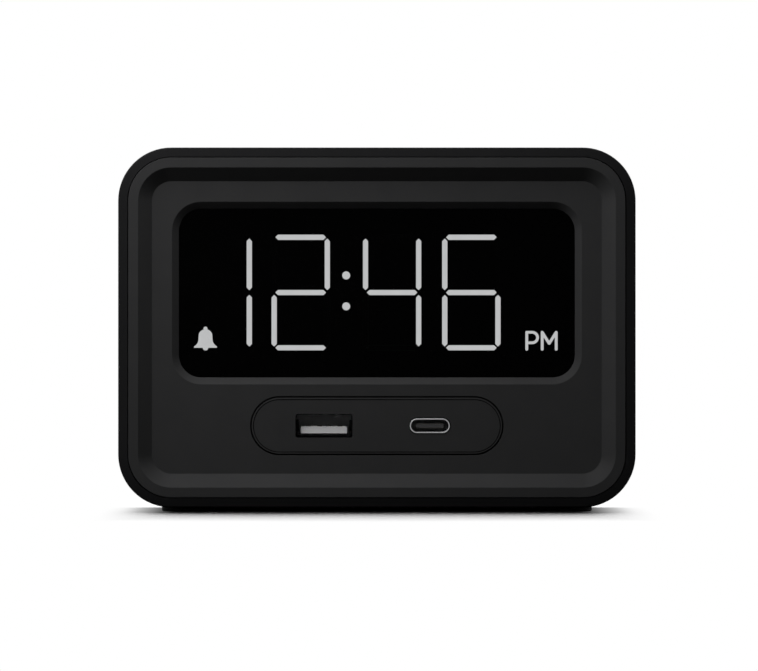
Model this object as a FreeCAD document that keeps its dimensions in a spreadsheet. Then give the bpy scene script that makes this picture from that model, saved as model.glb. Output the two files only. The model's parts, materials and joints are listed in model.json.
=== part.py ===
import FreeCAD, Part
import math
import os
from types import SimpleNamespace

import Sketcher

# Bedside alarm clock with a charging panel under its display.
# Millimetres. +X to the right of someone facing the display, the front looks along -Y, +Z is up.
# The origin is on the table, under the middle of the case.

Vector = FreeCAD.Vector
Rule = Sketcher.Constraint
DOC = FreeCAD.newDocument("AlarmClock")

TOUCH = 0.001  # two levels nearer than this are one
PAST = 1.0  # how far a cutting shape runs past what it cuts

SIZES = (
    # case
    ("body_w", 115.0, "case width"),
    ("body_h", 80.0, "case height"),
    ("body_d", 56.0, "case depth"),
    ("case_r", 11.8, "outer corner radius of the case, seen from the front"),
    ("shell_wall", 2.55, "wall of the case"),
    ("mouth_wall", 2.05, "wall of the case round the bezel"),
    ("rim_fall", 0.33, "slope of the front rim, from its inner to its outer edge"),
    ("rim_round", 0.4, "rounding of the front rim"),
    ("board_t", 1.6, "thickness of every circuit board"),
    ("screw_d", 2.0, "thread of the board screws"),
    ("screw_fit", 0.1, "pilot hole over thread"),
    ("screw_head_d", 4.0, "head of a board screw"),
    ("screw_head_t", 1.4, "thickness of a board screw head"),
    ("screw_bite", 5.0, "depth of a board screw in its boss"),
    ("screw_socket", 1.5, "driver recess of a board screw"),
    ("pilot_more", 1.0, "pilot hole beyond the end of its screw"),
    ("board_hole", 0.4, "screw hole in a board over thread"),
    # feet
    ("foot_h", 1.0, "how far the feet stand proud"),
    ("foot_d", 12.0, "foot"),
    ("foot_seat", 0.8, "depth of the seat of a foot"),
    ("foot_gap", 0.2, "gap round a foot in its seat"),
    ("foot_in_x", 15.5, "foot centre from the side of the case"),
    ("foot_in_y", 10.0, "foot centre from the front and the rear of the case"),
    # bezel
    ("seam", 0.2, "gap between case and bezel"),
    ("bezel_d", 8.0, "depth of the bezel"),
    ("bezel_skirt", 2.0, "wall of the bezel behind its plate"),
    ("ring_w", 2.2, "flat front ring of the bezel"),
    ("recess_d", 3.0, "depth of the recess, whose sides slope at 45 degrees"),
    ("plate_t", 1.8, "plate of the bezel"),
    ("window_side", 5.97, "window from the side of the recess floor"),
    ("window_h", 37.6, "window height"),
    ("window_r", 5.0, "window corner radius"),
    ("window_slope", 1.5, "sloped edge of the window"),
    ("window_rise", 7.67, "window centre above the middle of the case"),
    # display
    ("lens_lap", 2.5, "lens beyond the window"),
    ("lens_t", 2.0, "lens thickness"),
    ("lens_r", 3.0, "lens corner radius"),
    ("lens_air", 0.15, "air between lens and light block"),
    ("block_lap", 2.0, "light block beyond the window"),
    ("block_t", 6.0, "light block thickness"),
    ("guide_gap", 0.05, "gap round a light guide in the block"),
    ("led_t", 0.7, "height of a light chip"),
    ("led_w", 1.1, "width of a light chip"),
    ("digit_rise", 0.14, "digit centre above the window centre"),
    ("digit_w", 11.86, "digit width, between the middles of its bars"),
    ("digit_h", 24.66, "digit height, between the middles of its bars"),
    ("window_web", 3.0, "depth over which the light block follows a symbol"),
    ("bar_w", 1.13, "width of a bar"),
    ("bar_gap", 0.3, "bar tip from the middle line of the next bar"),
    ("bar_mid_gap", 0.55, "tip of an upright bar from the middle line of the crossbar"),
    ("hour_tens_x", -28.47, "bar of the hour tens"),
    ("hour_x", -17.0, "hour digit"),
    ("colon_x", -6.85, "colon"),
    ("minute_tens_x", 3.39, "minute tens digit"),
    ("minute_x", 21.08, "minute digit"),
    ("colon_d", 1.76, "colon dot"),
    ("colon_pitch", 6.9, "distance between the colon dots"),
    ("colon_rise", 0.37, "colon centre above the digit centre"),
    ("bell_x", -38.24, "bell symbol"),
    ("bell_drop", 8.07, "top of the bell's body under the window centre"),
    ("bell_w", 5.05, "bell symbol width"),
    ("bell_h", 4.11, "height of the bell's body"),
    ("bell_knob_d", 0.85, "knob on the bell"),
    ("bell_knob_rise", 0.16, "middle of the knob above the bell's body"),
    ("clapper_d", 1.18, "clapper of the bell"),
    ("letter_x", 33.44, "stem of the letter P"),
    ("letter_drop", 8.73, "middle line of the letter tops under the window centre"),
    ("letter_h", 3.79, "letter height, between stroke middles"),
    ("letter_w", 3.12, "letter width, between stroke middles"),
    ("letter_pitch", 3.44, "stem of P to the first stem of M"),
    ("letter_dip", 2.5, "dip of M under the letter tops"),
    ("stroke", 0.58, "letter stroke"),
    ("bowl_x", 1.22, "middle of the bowl of P from its stem"),
    ("bowl_r", 1.175, "radius of the bowl of P, to the middle of its stroke"),
    ("rib_w", 0.5, "rib of the light block that holds the middle of P"),
    ("rib_t", 1.0, "depth of that rib"),
    ("boss_d", 4.8, "screw boss of the display board"),
    ("boss_in", 3.9, "display board boss from the inside of the bezel"),
    ("boss_rise", 16.0, "display board boss from the window centre, up and down"),
    ("display_board_h", 40.0, "display board height"),
    ("board_side", 1.4, "display board from the inside of the bezel"),
    # ports
    ("port_w", 56.3, "port opening width"),
    ("port_h", 13.05, "port opening height"),
    ("port_drop", 21.88, "port opening centre under the middle of the case"),
    ("port_gap", 0.2, "gap round the port panel"),
    ("port_lap", 1.25, "flange of the port panel beyond the opening"),
    ("port_flange_t", 1.2, "flange of the port panel"),
    ("port_round", 0.15, "rounded edge of the port opening"),
    ("port_panel_round", 0.2, "rounded edge of the port panel"),
    ("port_line_in", 0.4, "groove round the port panel, from its edge"),
    ("port_line_w", 0.2, "width of that groove"),
    ("port_line_d", 0.25, "depth of that groove"),
    ("port_post_x", 23.0, "post of the port panel from the middle"),
    ("port_post_d", 4.4, "post of the port panel"),
    ("port_post_h", 11.0, "length of a post of the port panel"),
    ("usb_x", 11.77, "sockets from the middle"),
    ("usb_a_w", 13.1, "large socket shell width"),
    ("usb_a_h", 5.7, "large socket shell height"),
    ("usb_lip", 0.2, "panel in front of the large socket shell, all round"),
    ("usb_lip_t", 0.8, "thickness of that lip"),
    ("usb_a_round", 0.5, "corner radius of the large socket opening"),
    ("usb_metal", 0.3, "sheet metal of both socket shells"),
    ("usb_fit", 0.1, "gap round the large socket shell"),
    ("usb_a_tongue_w", 10.4, "large socket tongue width"),
    ("usb_a_tongue_t", 1.7, "large socket tongue thickness"),
    ("usb_a_tongue_drop", 0.95, "large socket tongue under the socket centre"),
    ("usb_a_tongue_in", 1.2, "large socket tongue behind its shell's mouth"),
    ("usb_a_pin_w", 1.0, "large socket contact width"),
    ("usb_a_pin_edge", 1.7, "outer contact of the large socket from the side of its tongue"),
    ("usb_a_pin_x", 1.0, "inner contact of the large socket from its middle"),
    ("usb_block", 3.5, "insulator block at the back of the sockets"),
    ("usb_air", 0.1, "gap round that block"),
    ("usb_c_w", 8.94, "small socket shell width"),
    ("usb_c_h", 3.3, "small socket shell height"),
    ("usb_c_gap", 0.2, "gap round the small socket shell"),
    ("usb_c_out", 0.1, "small socket shell in front of the panel"),
    ("usb_c_tongue_w", 6.2, "small socket tongue width"),
    ("usb_c_tongue_t", 0.8, "small socket tongue thickness"),
    ("usb_c_tongue_in", 0.7, "small socket tongue behind its shell's mouth"),
    ("usb_c_pin_edge", 0.35, "outer contact of the small socket from the side of its tongue"),
    ("pin_t", 0.1, "socket contact thickness"),
    ("pin_in", 0.6, "front end of a socket contact behind that of its tongue"),
    ("usb_board_w", 58.0, "socket board width"),
    ("usb_board_h", 16.0, "socket board height"),
    # top controls
    ("bar_side", 10.0, "end of the snooze bar from the middle of a round button"),
    ("bar_d", 15.0, "snooze bar depth"),
    ("press_gap", 0.25, "gap round the snooze bar and the buttons"),
    ("press_drop", 0.15, "top controls under the top of the case"),
    ("press_round", 0.4, "rounded edge of the snooze bar and the buttons"),
    ("flange_lap", 1.3, "flange of a control beyond its opening"),
    ("flange_t", 1.2, "flange of a control"),
    ("flange_air", 0.1, "flange of a control from the wall it stops against"),
    ("top_button_d", 9.0, "round button on the top"),
    ("top_button_in", 17.5, "round button on the top from the side of the case"),
    ("stem_d", 3.4, "stem of a control"),
    ("stem_fit", 0.1, "gap round a stem in its switch"),
    ("snooze_stem_in", 12.0, "stem of the snooze bar from the end of the bar"),
    ("top_travel", 0.8, "travel of the top controls"),
    ("switch_w", 6.0, "push switch width"),
    ("switch_t", 3.5, "push switch height"),
    ("switch_floor", 1.6, "bottom of a push switch"),
    ("stop_gap", 0.1, "stem over the bottom of its switch when pressed"),
    ("top_board_side", 3.1, "top board from the inside of the case"),
    ("top_board_d", 16.0, "top board depth"),
    ("top_board_drop", 11.0, "top board under the inside of the case top"),
    ("top_boss_d", 4.8, "screw boss of the top board"),
    ("top_boss_in", 3.4, "top board boss from the end of the board"),
    # rear cover
    ("cover_t", 3.0, "rear cover plate"),
    ("cover_round", 1.6, "rounded rear edge of the cover"),
    ("cover_fit", 0.15, "gap round the lip of the cover"),
    ("lip_t", 2.0, "wall of the lip of the cover"),
    ("lip_d", 3.0, "depth of the lip of the cover"),
    ("corner_in", 7.1, "cover screw from the sides of the case"),
    ("corner_boss_d", 6.5, "boss of a cover screw"),
    ("corner_boss_l", 17.0, "length of that boss"),
    ("cover_screw_d", 3.0, "thread of a cover screw"),
    ("cover_head_d", 5.6, "head of a cover screw"),
    ("cover_head_t", 1.8, "thickness of a cover screw head"),
    ("cover_head_in", 0.2, "cover screw head below the cover"),
    ("cover_bite", 9.0, "depth of a cover screw in its boss"),
    ("head_gap", 0.3, "gap round a cover screw head"),
    ("cross_w", 0.7, "slot of the cross in a cover screw head"),
    ("cross_l", 3.2, "length of the cross in a cover screw head"),
    ("cross_d", 1.0, "depth of the cross in a cover screw head"),
    # rear controls
    ("panel_w", 74.0, "recess of the rear controls, width"),
    ("panel_h", 14.0, "recess of the rear controls, height"),
    ("panel_d", 1.0, "recess of the rear controls, depth"),
    ("panel_rise", 16.0, "rear controls above the middle of the case"),
    ("rear_button_d", 7.5, "rear button"),
    ("rear_pitch", 14.0, "distance between rear buttons"),
    ("rear_first_x", -28.0, "first rear button"),
    ("rear_button_out", 0.8, "rear button proud of its recess"),
    ("rear_travel", 0.5, "travel of a rear button"),
    ("knob_x", 27.0, "slide switch knob at rest"),
    ("knob_w", 4.0, "slide switch knob width"),
    ("knob_h", 3.0, "slide switch knob height"),
    ("knob_travel", 4.0, "slide switch travel"),
    ("knob_gap", 0.3, "gap round the knob in its slot"),
    ("knob_stem", 1.6, "stem of the knob in its switch"),
    ("knob_groove", 0.5, "finger groove of the knob"),
    ("knob_groove_d", 0.4, "depth of that groove"),
    ("knob_groove_pitch", 1.0, "distance between the grooves"),
    ("slider_w", 10.0, "slide switch housing width"),
    ("slider_h", 5.0, "slide switch housing height"),
    ("slider_t", 5.5, "slide switch housing depth"),
    # main board and what it carries
    ("main_board_side", 9.1, "main board from the inside of the case"),
    ("main_board_low", 13.0, "main board above the underside of the case"),
    ("main_board_high", 9.0, "main board under the top of the case"),
    ("main_post_h", 10.0, "post of the main board on the cover"),
    ("main_post_d", 5.0, "post of the main board, diameter"),
    ("main_post_in", 4.0, "post centre from the edges of the main board"),
    ("buzzer_d", 20.0, "buzzer"),
    ("buzzer_t", 7.0, "buzzer height"),
    ("buzzer_x", -28.0, "buzzer from the middle"),
    ("buzzer_drop", 12.0, "buzzer under the middle of the case"),
    ("buzzer_hole", 3.0, "sound hole of the buzzer"),
    ("grille_d", 1.8, "hole of the sound grille"),
    ("grille_pitch", 4.0, "distance between the rings of grille holes"),
    ("jack_x", 30.0, "power inlet from the middle"),
    ("jack_drop", 14.0, "power inlet under the middle of the case"),
    ("jack_w", 9.0, "power inlet body width"),
    ("jack_h", 11.0, "power inlet body height"),
    ("jack_nose_d", 8.6, "power inlet nose"),
    ("jack_bore", 5.7, "power inlet bore"),
    ("jack_gap", 0.3, "gap round the nose in the cover"),
    ("jack_in", 0.5, "nose under the face of the cover"),
    ("jack_floor", 2.0, "bottom of the power inlet bore"),
    ("jack_pin_d", 2.0, "centre pin of the power inlet"),
    ("jack_pin_in", 1.0, "centre pin under the mouth of the nose"),
    ("chip_w", 10.0, "controller chip"),
    ("chip_t", 1.2, "controller chip thickness"),
    ("chip_rise", 6.0, "controller chip above the middle of the case"),
    ("capacitor_d", 8.0, "capacitor"),
    ("capacitor_l", 11.0, "capacitor length"),
    ("capacitor_gap", 1.5, "gap between the capacitors, and from them to the inductor"),
    ("inductor_w", 12.0, "power inductor"),
    ("inductor_t", 6.0, "power inductor thickness"),
    ("dimple_d", 7.2, "dimple in the power inductor"),
    ("dimple_t", 0.75, "depth of that dimple"),
    ("crystal_d", 3.0, "crystal can"),
    ("crystal_l", 8.0, "crystal can length"),
    # battery drawer
    ("cell_d", 20.0, "backup cell"),
    ("cell_t", 3.2, "backup cell thickness"),
    ("cell_round", 0.3, "rounded edges of the backup cell"),
    ("cell_gap", 0.3, "gap round the cell in its drawer"),
    ("drawer_w", 23.4, "battery drawer width"),
    ("drawer_side", 1.5, "drawer behind and in front of the cell"),
    ("drawer_floor", 1.0, "floor of the drawer"),
    ("drawer_wall_h", 3.6, "drawer wall over its floor"),
    ("drawer_face_t", 2.5, "face plate of the drawer"),
    ("drawer_gap", 0.2, "gap round the drawer"),
    ("drawer_travel", 24.0, "travel of the drawer"),
    ("sleeve_wall", 1.0, "wall of the battery sleeve"),
    ("grip_w", 12.0, "finger notch of the drawer"),
    ("grip_d", 1.2, "depth of the finger notch"),
    ("leaf_t", 0.3, "battery contact"),
    ("leaf_w", 4.0, "battery contact width"),
    ("leaf_l", 10.0, "battery contact length"),
    ("leaf_x", 5.0, "battery contact from the middle of the cell"),
    # flat cables
    ("cable_t", 0.3, "flat cable thickness"),
    ("cable_w", 14.0, "flat cable width"),
    ("cable_bend", 3.0, "bend radius of a flat cable"),
    ("cable_step", 8.0, "how far a flat cable climbs on its way to the main board"),
    ("display_cable_x", -30.0, "flat cable of the display board from the middle"),
    ("display_cable_drop", 4.0, "flat cable of the display board under the middle of the case"),
    ("usb_cable_x", -12.0, "flat cable of the socket board from the middle"),
    ("top_cable_x", 14.0, "flat cable of the top board from the middle"),
    ("top_cable_drop", 6.0, "flat cable of the top board under the rear controls"),
    ("plug_w", 17.0, "flat cable connector width"),
    ("plug_h", 4.0, "flat cable connector height"),
    ("plug_t", 2.5, "flat cable connector thickness"),
)


class Size:
    """A length in millimetres, with the expression of the sheet that gives it."""

    def __init__(self, value, text):
        self.value = value
        self.text = text

    def __add__(self, other):
        other = as_size(other)
        return Size(self.value + other.value, f"({self.text} + {other.text})")

    def __sub__(self, other):
        other = as_size(other)
        return Size(self.value - other.value, f"({self.text} - {other.text})")

    def __mul__(self, factor):
        factor = as_size(factor)
        return Size(self.value * factor.value, f"({self.text} * {factor.text})")

    def __truediv__(self, factor):
        factor = as_size(factor)
        return Size(self.value / factor.value, f"({self.text} / {factor.text})")

    def __neg__(self):
        return Size(-self.value, f"(-1 * {self.text})")

    def __radd__(self, other):
        return as_size(other) + self

    def __rsub__(self, other):
        return as_size(other) - self

    def __rmul__(self, factor):
        return self * factor


def as_size(number):
    """A Size as it is, and a plain number as a Size of its own."""
    if isinstance(number, Size):
        return number
    return Size(float(number), f"({float(number)})")


def make_sheet():
    """Fill the sheet of sizes and return its values by name."""
    sheet = DOC.addObject("Spreadsheet::Sheet", "Sizes")
    for row, (alias, value, note) in enumerate(SIZES, start=1):
        sheet.set(f"A{row}", note)
        sheet.set(f"B{row}", str(value))
        sheet.setAlias(f"B{row}", alias)
    DOC.recompute()
    named = {alias: Size(sheet.get(alias), f"Sizes.{alias}") for alias, _, _ in SIZES}
    return SimpleNamespace(**named)


def bind(thing, path, size):
    """Tie a property of a document object to the sheet."""
    thing.setExpression(path, as_size(size).text)


def hold(sketch, rule, size):
    """Add a dimension to a sketch and tie it to the sheet."""
    index = sketch.addConstraint(rule)
    name = f"size{index}"
    sketch.renameConstraint(index, name)
    bind(sketch, f"Constraints.{name}", size)


def place(sketch, curve, point, x, z):
    """Fix a point of a curve at a distance from the origin of its sketch."""
    hold(sketch, Rule("DistanceX", -1, 1, curve, point, x.value), x)
    hold(sketch, Rule("DistanceY", -1, 1, curve, point, z.value), z)


class Disc:
    """A circle in a sketch."""

    def __init__(self, across, x=0, z=0):
        self.across = as_size(across)
        self.x = as_size(x)
        self.z = as_size(z)

    def grown(self, by):
        """The circle at an even distance outside this one."""
        return Disc(self.across + 2 * as_size(by), self.x, self.z)

    def draw(self, sketch):
        centre = Vector(self.x.value, self.z.value, 0)
        circle = Part.Circle(centre, Vector(0, 0, 1), self.across.value / 2)
        index = sketch.addGeometry(circle, False)
        hold(sketch, Rule("Diameter", index, self.across.value), self.across)
        place(sketch, index, 3, self.x, self.z)


class Rect:
    """A rectangle in a sketch, with sharp or rounded corners."""

    def __init__(self, wide, high, corner=0, x=0, z=0):
        self.wide = as_size(wide)
        self.high = as_size(high)
        self.corner = as_size(corner)
        self.x = as_size(x)
        self.z = as_size(z)

    def grown(self, by):
        """The outline at an even distance outside this one."""
        by = as_size(by)
        corner = self.corner + by if self.corner.value else self.corner
        return Rect(self.wide + 2 * by, self.high + 2 * by, corner, self.x, self.z)

    def draw(self, sketch):
        x, z = self.x.value, self.z.value
        w, h, r = self.wide.value / 2, self.high.value / 2, self.corner.value
        sides = (
            (Vector(x - w + r, z - h), Vector(x + w - r, z - h)),
            (Vector(x + w, z - h + r), Vector(x + w, z + h - r)),
            (Vector(x + w - r, z + h), Vector(x - w + r, z + h)),
            (Vector(x - w, z + h - r), Vector(x - w, z - h + r)),
        )
        centres = (
            Vector(x + w - r, z - h + r),
            Vector(x + w - r, z + h - r),
            Vector(x - w + r, z + h - r),
            Vector(x - w + r, z - h + r),
        )
        lines = []
        arcs = []
        for turn, (side, centre) in enumerate(zip(sides, centres)):
            lines.append(sketch.addGeometry(Part.LineSegment(*side), False))
            if r > 0:
                circle = Part.Circle(centre, Vector(0, 0, 1), r)
                start = (turn - 1) * math.pi / 2
                arc = Part.ArcOfCircle(circle, start, start + math.pi / 2)
                arcs.append(sketch.addGeometry(arc, False))
        chain = [curve for pair in zip(lines, arcs) for curve in pair] if arcs else lines
        meeting = "Tangent" if arcs else "Coincident"
        for here, there in zip(chain, chain[1:] + chain[:1]):
            sketch.addConstraint(Rule(meeting, here, 2, there, 1))
        for line, lying in zip(lines, ("Horizontal", "Vertical") * 2):
            sketch.addConstraint(Rule(lying, line))
        for arc, other in zip(arcs, arcs[1:]):
            sketch.addConstraint(Rule("Equal", arc, other))
        bottom, right, top, left = lines
        hold(sketch, Rule("DistanceX", left, 1, right, 1, 2 * w), self.wide)
        hold(sketch, Rule("DistanceY", bottom, 1, top, 1, 2 * h), self.high)
        if arcs:
            hold(sketch, Rule("Radius", arcs[0], r), self.corner)
        low_x = self.x - self.wide / 2 + self.corner
        place(sketch, bottom, 1, low_x, self.z - self.high / 2)


class Slot:
    """A capsule in a sketch: two level sides and a half circle at each end."""

    def __init__(self, wide, high, x=0, z=0):
        self.wide = as_size(wide)
        self.high = as_size(high)
        self.x = as_size(x)
        self.z = as_size(z)

    def grown(self, by):
        """The outline at an even distance outside this one."""
        by = as_size(by)
        return Slot(self.wide + 2 * by, self.high + 2 * by, self.x, self.z)

    def holds(self, edge):
        """Whether an edge lies within the width and the height of the capsule, seen from the front."""
        reach_x, reach_z = self.wide.value / 2 + TOUCH, self.high.value / 2 + TOUCH
        edge_box = edge.BoundBox
        across = max(self.x.value - edge_box.XMin, edge_box.XMax - self.x.value)
        up = max(self.z.value - edge_box.ZMin, edge_box.ZMax - self.z.value)
        return across <= reach_x and up <= reach_z

    def draw(self, sketch):
        x, z, r = self.x.value, self.z.value, self.high.value / 2
        run = (self.wide.value - self.high.value) / 2
        up = Vector(0, 0, 1)
        right_circle = Part.Circle(Vector(x + run, z), up, r)
        left_circle = Part.Circle(Vector(x - run, z), up, r)
        quarter = math.pi / 2
        bottom = sketch.addGeometry(Part.LineSegment(Vector(x - run, z - r), Vector(x + run, z - r)), False)
        right = sketch.addGeometry(Part.ArcOfCircle(right_circle, -quarter, quarter), False)
        top = sketch.addGeometry(Part.LineSegment(Vector(x + run, z + r), Vector(x - run, z + r)), False)
        left = sketch.addGeometry(Part.ArcOfCircle(left_circle, quarter, 3 * quarter), False)
        chain = (bottom, right, top, left)
        for here, there in zip(chain, chain[1:] + chain[:1]):
            sketch.addConstraint(Rule("Tangent", here, 2, there, 1))
        sketch.addConstraint(Rule("Horizontal", bottom))
        sketch.addConstraint(Rule("Equal", right, left))
        hold(sketch, Rule("DistanceX", left, 3, right, 3, 2 * run), self.wide - self.high)
        hold(sketch, Rule("Radius", right, r), self.high / 2)
        place(sketch, left, 3, self.x - (self.wide - self.high) / 2, self.z)


# Each view names the origin plane of its sketches and which way that plane's normal points.
FRONT = SimpleNamespace(role="XZ_Plane", normal=-1)
TOP = SimpleNamespace(role="XY_Plane", normal=1)

PIECES = []
CUTS = []


class Piece:
    """A sub-part made as a body: outlines padded or cut between two levels of a view."""

    def __init__(self, label):
        self.body = DOC.addObject("PartDesign::Body", "Body")
        self.body.Label = label
        self.body.AllowCompound = True
        PIECES.append(self.body)

    def sketch(self, view, level, outlines):
        """Draw outlines on a plane at a level of the view's axis."""
        sketch = self.body.newObject("Sketcher::SketchObject", "Sketch")
        planes = self.body.Origin.OriginFeatures
        support = next(plane for plane in planes if plane.Role == view.role)
        sketch.AttachmentSupport = (support, [""])
        sketch.MapMode = "FlatFace"
        bind(sketch, "AttachmentOffset.Base.z", view.normal * as_size(level))
        for outline in outlines:
            outline.draw(sketch)
        return sketch

    def add(self, view, low, high, *outlines):
        """Add material between two levels."""
        start = low if view.normal > 0 else high
        pad = self.body.newObject("PartDesign::Pad", "Pad")
        pad.Profile = self.sketch(view, start, outlines)
        bind(pad, "Length", as_size(high) - low)
        self.body.Tip = pad

    def cut(self, view, low, high, *outlines):
        """Take material away between two levels."""
        start = high if view.normal > 0 else low
        base = self.body.Tip
        pocket = self.body.newObject("PartDesign::Pocket", "Pocket")
        pocket.Profile = self.sketch(view, start, outlines)
        bind(pocket, "Length", as_size(high) - low)
        self.body.Tip = pocket
        CUTS.append((base, pocket))

    def slope(self, kind, view, level, outline, other_level, other_outline):
        """Add or take away the straight-sided solid between two like outlines."""
        base = self.body.Tip
        loft = self.body.newObject(kind, "Loft")
        loft.Profile = self.sketch(view, level, [outline])
        loft.Sections = [self.sketch(view, other_level, [other_outline])]
        loft.Ruled = True
        self.body.Tip = loft
        if kind == "PartDesign::SubtractiveLoft":
            CUTS.append((base, loft))

    def round_edges(self, radius, wanted):
        """Round the edges that a test on an edge picks out."""
        DOC.recompute()
        base = self.body.Tip
        edges = base.Shape.Edges
        names = [f"Edge{index}" for index, edge in enumerate(edges, start=1) if wanted(edge)]
        rounding = self.body.newObject("PartDesign::Fillet", "Fillet")
        rounding.Base = (base, names)
        bind(rounding, "Radius", radius)
        self.body.Tip = rounding


def level_edge(axis, level, within=None):
    """A test for edges that lie in a plane, and within an outline if one is given."""
    def wanted(edge):
        edge_box = edge.BoundBox
        low, high = (edge_box.YMin, edge_box.YMax) if axis == "y" else (edge_box.ZMin, edge_box.ZMax)
        if abs(low - level.value) > TOUCH or abs(high - level.value) > TOUCH:
            return False
        return within is None or within.holds(edge)
    return wanted


def box(low, high):
    """A block between two corners, as a document object tied to the sheet."""
    block = DOC.addObject("Part::Box", "Box")
    corners = zip(("Length", "Width", "Height"), "xyz", low, high)
    for length, axis, near, far in corners:
        bind(block, length, as_size(far) - near)
        bind(block, f"Placement.Base.{axis}", near)
    return block


def rod(across, centre, low, high, axis="y"):
    """A cylinder along an axis, as a document object tied to the sheet."""
    cylinder = DOC.addObject("Part::Cylinder", "Rod")
    bind(cylinder, "Radius", as_size(across) / 2)
    bind(cylinder, "Height", as_size(high) - low)
    turns = {
        "x": FreeCAD.Rotation(Vector(0, 1, 0), 90),
        "y": FreeCAD.Rotation(Vector(1, 0, 0), -90),
        "z": FreeCAD.Rotation(),
    }
    cylinder.Placement = FreeCAD.Placement(Vector(), turns[axis])
    others = [name for name in "xyz" if name != axis]
    bind(cylinder, f"Placement.Base.{axis}", low)
    for name, place_on_axis in zip(others, centre):
        bind(cylinder, f"Placement.Base.{name}", place_on_axis)
    return cylinder


def keep(label, thing):
    """Name a document object as a sub-part."""
    thing.Label = label
    PIECES.append(thing)
    return thing


def group(label, things):
    """Several like pieces as one sub-part."""
    compound = DOC.addObject("Part::Compound", "Group")
    compound.Links = things
    return keep(label, compound)


def cut_away(base, tools):
    """A block or rod with others taken out of it."""
    for tool in tools:
        cut = DOC.addObject("Part::Cut", "Cut")
        cut.Base = base
        cut.Tool = tool
        CUTS.append((base, cut))
        base = cut
    return base


def fixed_shape(label, shape):
    """A sub-part whose shape is worked out here from the sheet's values."""
    feature = DOC.addObject("Part::Feature", "Shape")
    feature.Shape = shape
    return keep(label, feature)


dim = make_sheet()

# Levels along Z
case_low = dim.foot_h
mid_z = dim.foot_h + dim.body_h / 2
case_top = dim.foot_h + dim.body_h
ceiling_z = case_top - dim.shell_wall
window_z = mid_z + dim.window_rise
port_z = mid_z - dim.port_drop
controls_z = mid_z + dim.panel_rise
floor_z = case_low + dim.shell_wall

# Levels along Y, from the front to the rear
front_y = -dim.body_d / 2
recess_y = front_y + dim.recess_d
plate_back_y = recess_y + dim.plate_t
bezel_back_y = front_y + dim.bezel_d
lens_back_y = plate_back_y + dim.lens_t
block_front_y = lens_back_y + dim.lens_air
chamber_y = block_front_y + dim.window_web
display_board_y = block_front_y + dim.block_t
port_back_y = plate_back_y + dim.port_flange_t
usb_board_y = port_back_y + dim.port_post_h
usb_a_front_y = recess_y + dim.usb_lip_t
usb_c_front_y = recess_y - dim.usb_c_out
rear_y = dim.body_d / 2
cover_y = rear_y - dim.cover_t
lip_y = cover_y - dim.lip_d
panel_y = rear_y - dim.panel_d
main_back_y = cover_y - dim.main_post_h
main_front_y = main_back_y - dim.board_t

# Outlines that several pieces share
case_outline = Rect(dim.body_w, dim.body_h, dim.case_r, 0, mid_z)
mouth_outline = case_outline.grown(-dim.mouth_wall)
bezel_outline = mouth_outline.grown(-dim.seam)
inside_outline = case_outline.grown(-dim.shell_wall)
recess_outline = bezel_outline.grown(-dim.ring_w)
recess_floor = recess_outline.grown(-dim.recess_d)
window_w = recess_floor.wide - 2 * dim.window_side
window = Rect(window_w, dim.window_h, dim.window_r, 0, window_z)
port_opening = Slot(dim.port_w, dim.port_h, 0, port_z)
usb_a_outline = Rect(dim.usb_a_w, dim.usb_a_h, dim.usb_a_round + dim.usb_lip, -dim.usb_x, port_z)
usb_c_outline = Slot(dim.usb_c_w, dim.usb_c_h, dim.usb_x, port_z)
top_button_x = dim.body_w / 2 - dim.top_button_in
bar_l = 2 * (top_button_x - dim.bar_side)
snooze_stem_x = bar_l / 2 - dim.snooze_stem_in
snooze_outline = Slot(bar_l, dim.bar_d)

# The battery drawer in its sleeve
sleeve_inner_low = floor_z + dim.sleeve_wall
drawer_low = sleeve_inner_low + dim.drawer_gap
drawer_h = dim.drawer_floor + dim.drawer_wall_h
drawer_reach = dim.cell_d + 2 * dim.cell_gap + 2 * dim.drawer_side
drawer_front_y = rear_y - dim.drawer_face_t - drawer_reach
drawer_face = Rect(dim.drawer_w, drawer_h, 0, 0, drawer_low + drawer_h / 2)
sleeve_inner_h = drawer_h + 2 * dim.drawer_gap + dim.leaf_t

# Places that several pieces share
hollow_x = bezel_outline.wide / 2 - dim.bezel_skirt
boss_x = hollow_x - dim.boss_in
corner_x = dim.body_w / 2 - dim.corner_in
corner_z = dim.body_h / 2 - dim.corner_in
foot_x = dim.body_w / 2 - dim.foot_in_x
foot_y = dim.body_d / 2 - dim.foot_in_y
top_board_w = inside_outline.wide - 2 * dim.top_board_side
top_boss_x = top_board_w / 2 - dim.top_boss_in
top_board_top = ceiling_z - dim.top_board_drop
top_board_low = top_board_top - dim.board_t
main_low = case_low + dim.main_board_low
main_high = case_top - dim.main_board_high
main_z = (main_low + main_high) / 2
main_board_w = inside_outline.wide - 2 * dim.main_board_side
main_post_x = main_board_w / 2 - dim.main_post_in
main_post_rise = (main_high - main_low) / 2 - dim.main_post_in
jack_z = mid_z - dim.jack_drop
buzzer_z = mid_z - dim.buzzer_drop
rear_button_x = [dim.rear_first_x + step * dim.rear_pitch for step in range(4)]
pilot_d = dim.screw_d + dim.screw_fit
clear_d = dim.screw_d + dim.board_hole
four_ways = ((-1, -1), (1, -1), (1, 1), (-1, 1))


def four_discs(across, x, y, middle=0):
    """The same circle at the corners of a rectangle round a middle height."""
    return [Disc(across, sx * x, middle + sz * y) for sx, sz in four_ways]


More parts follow.
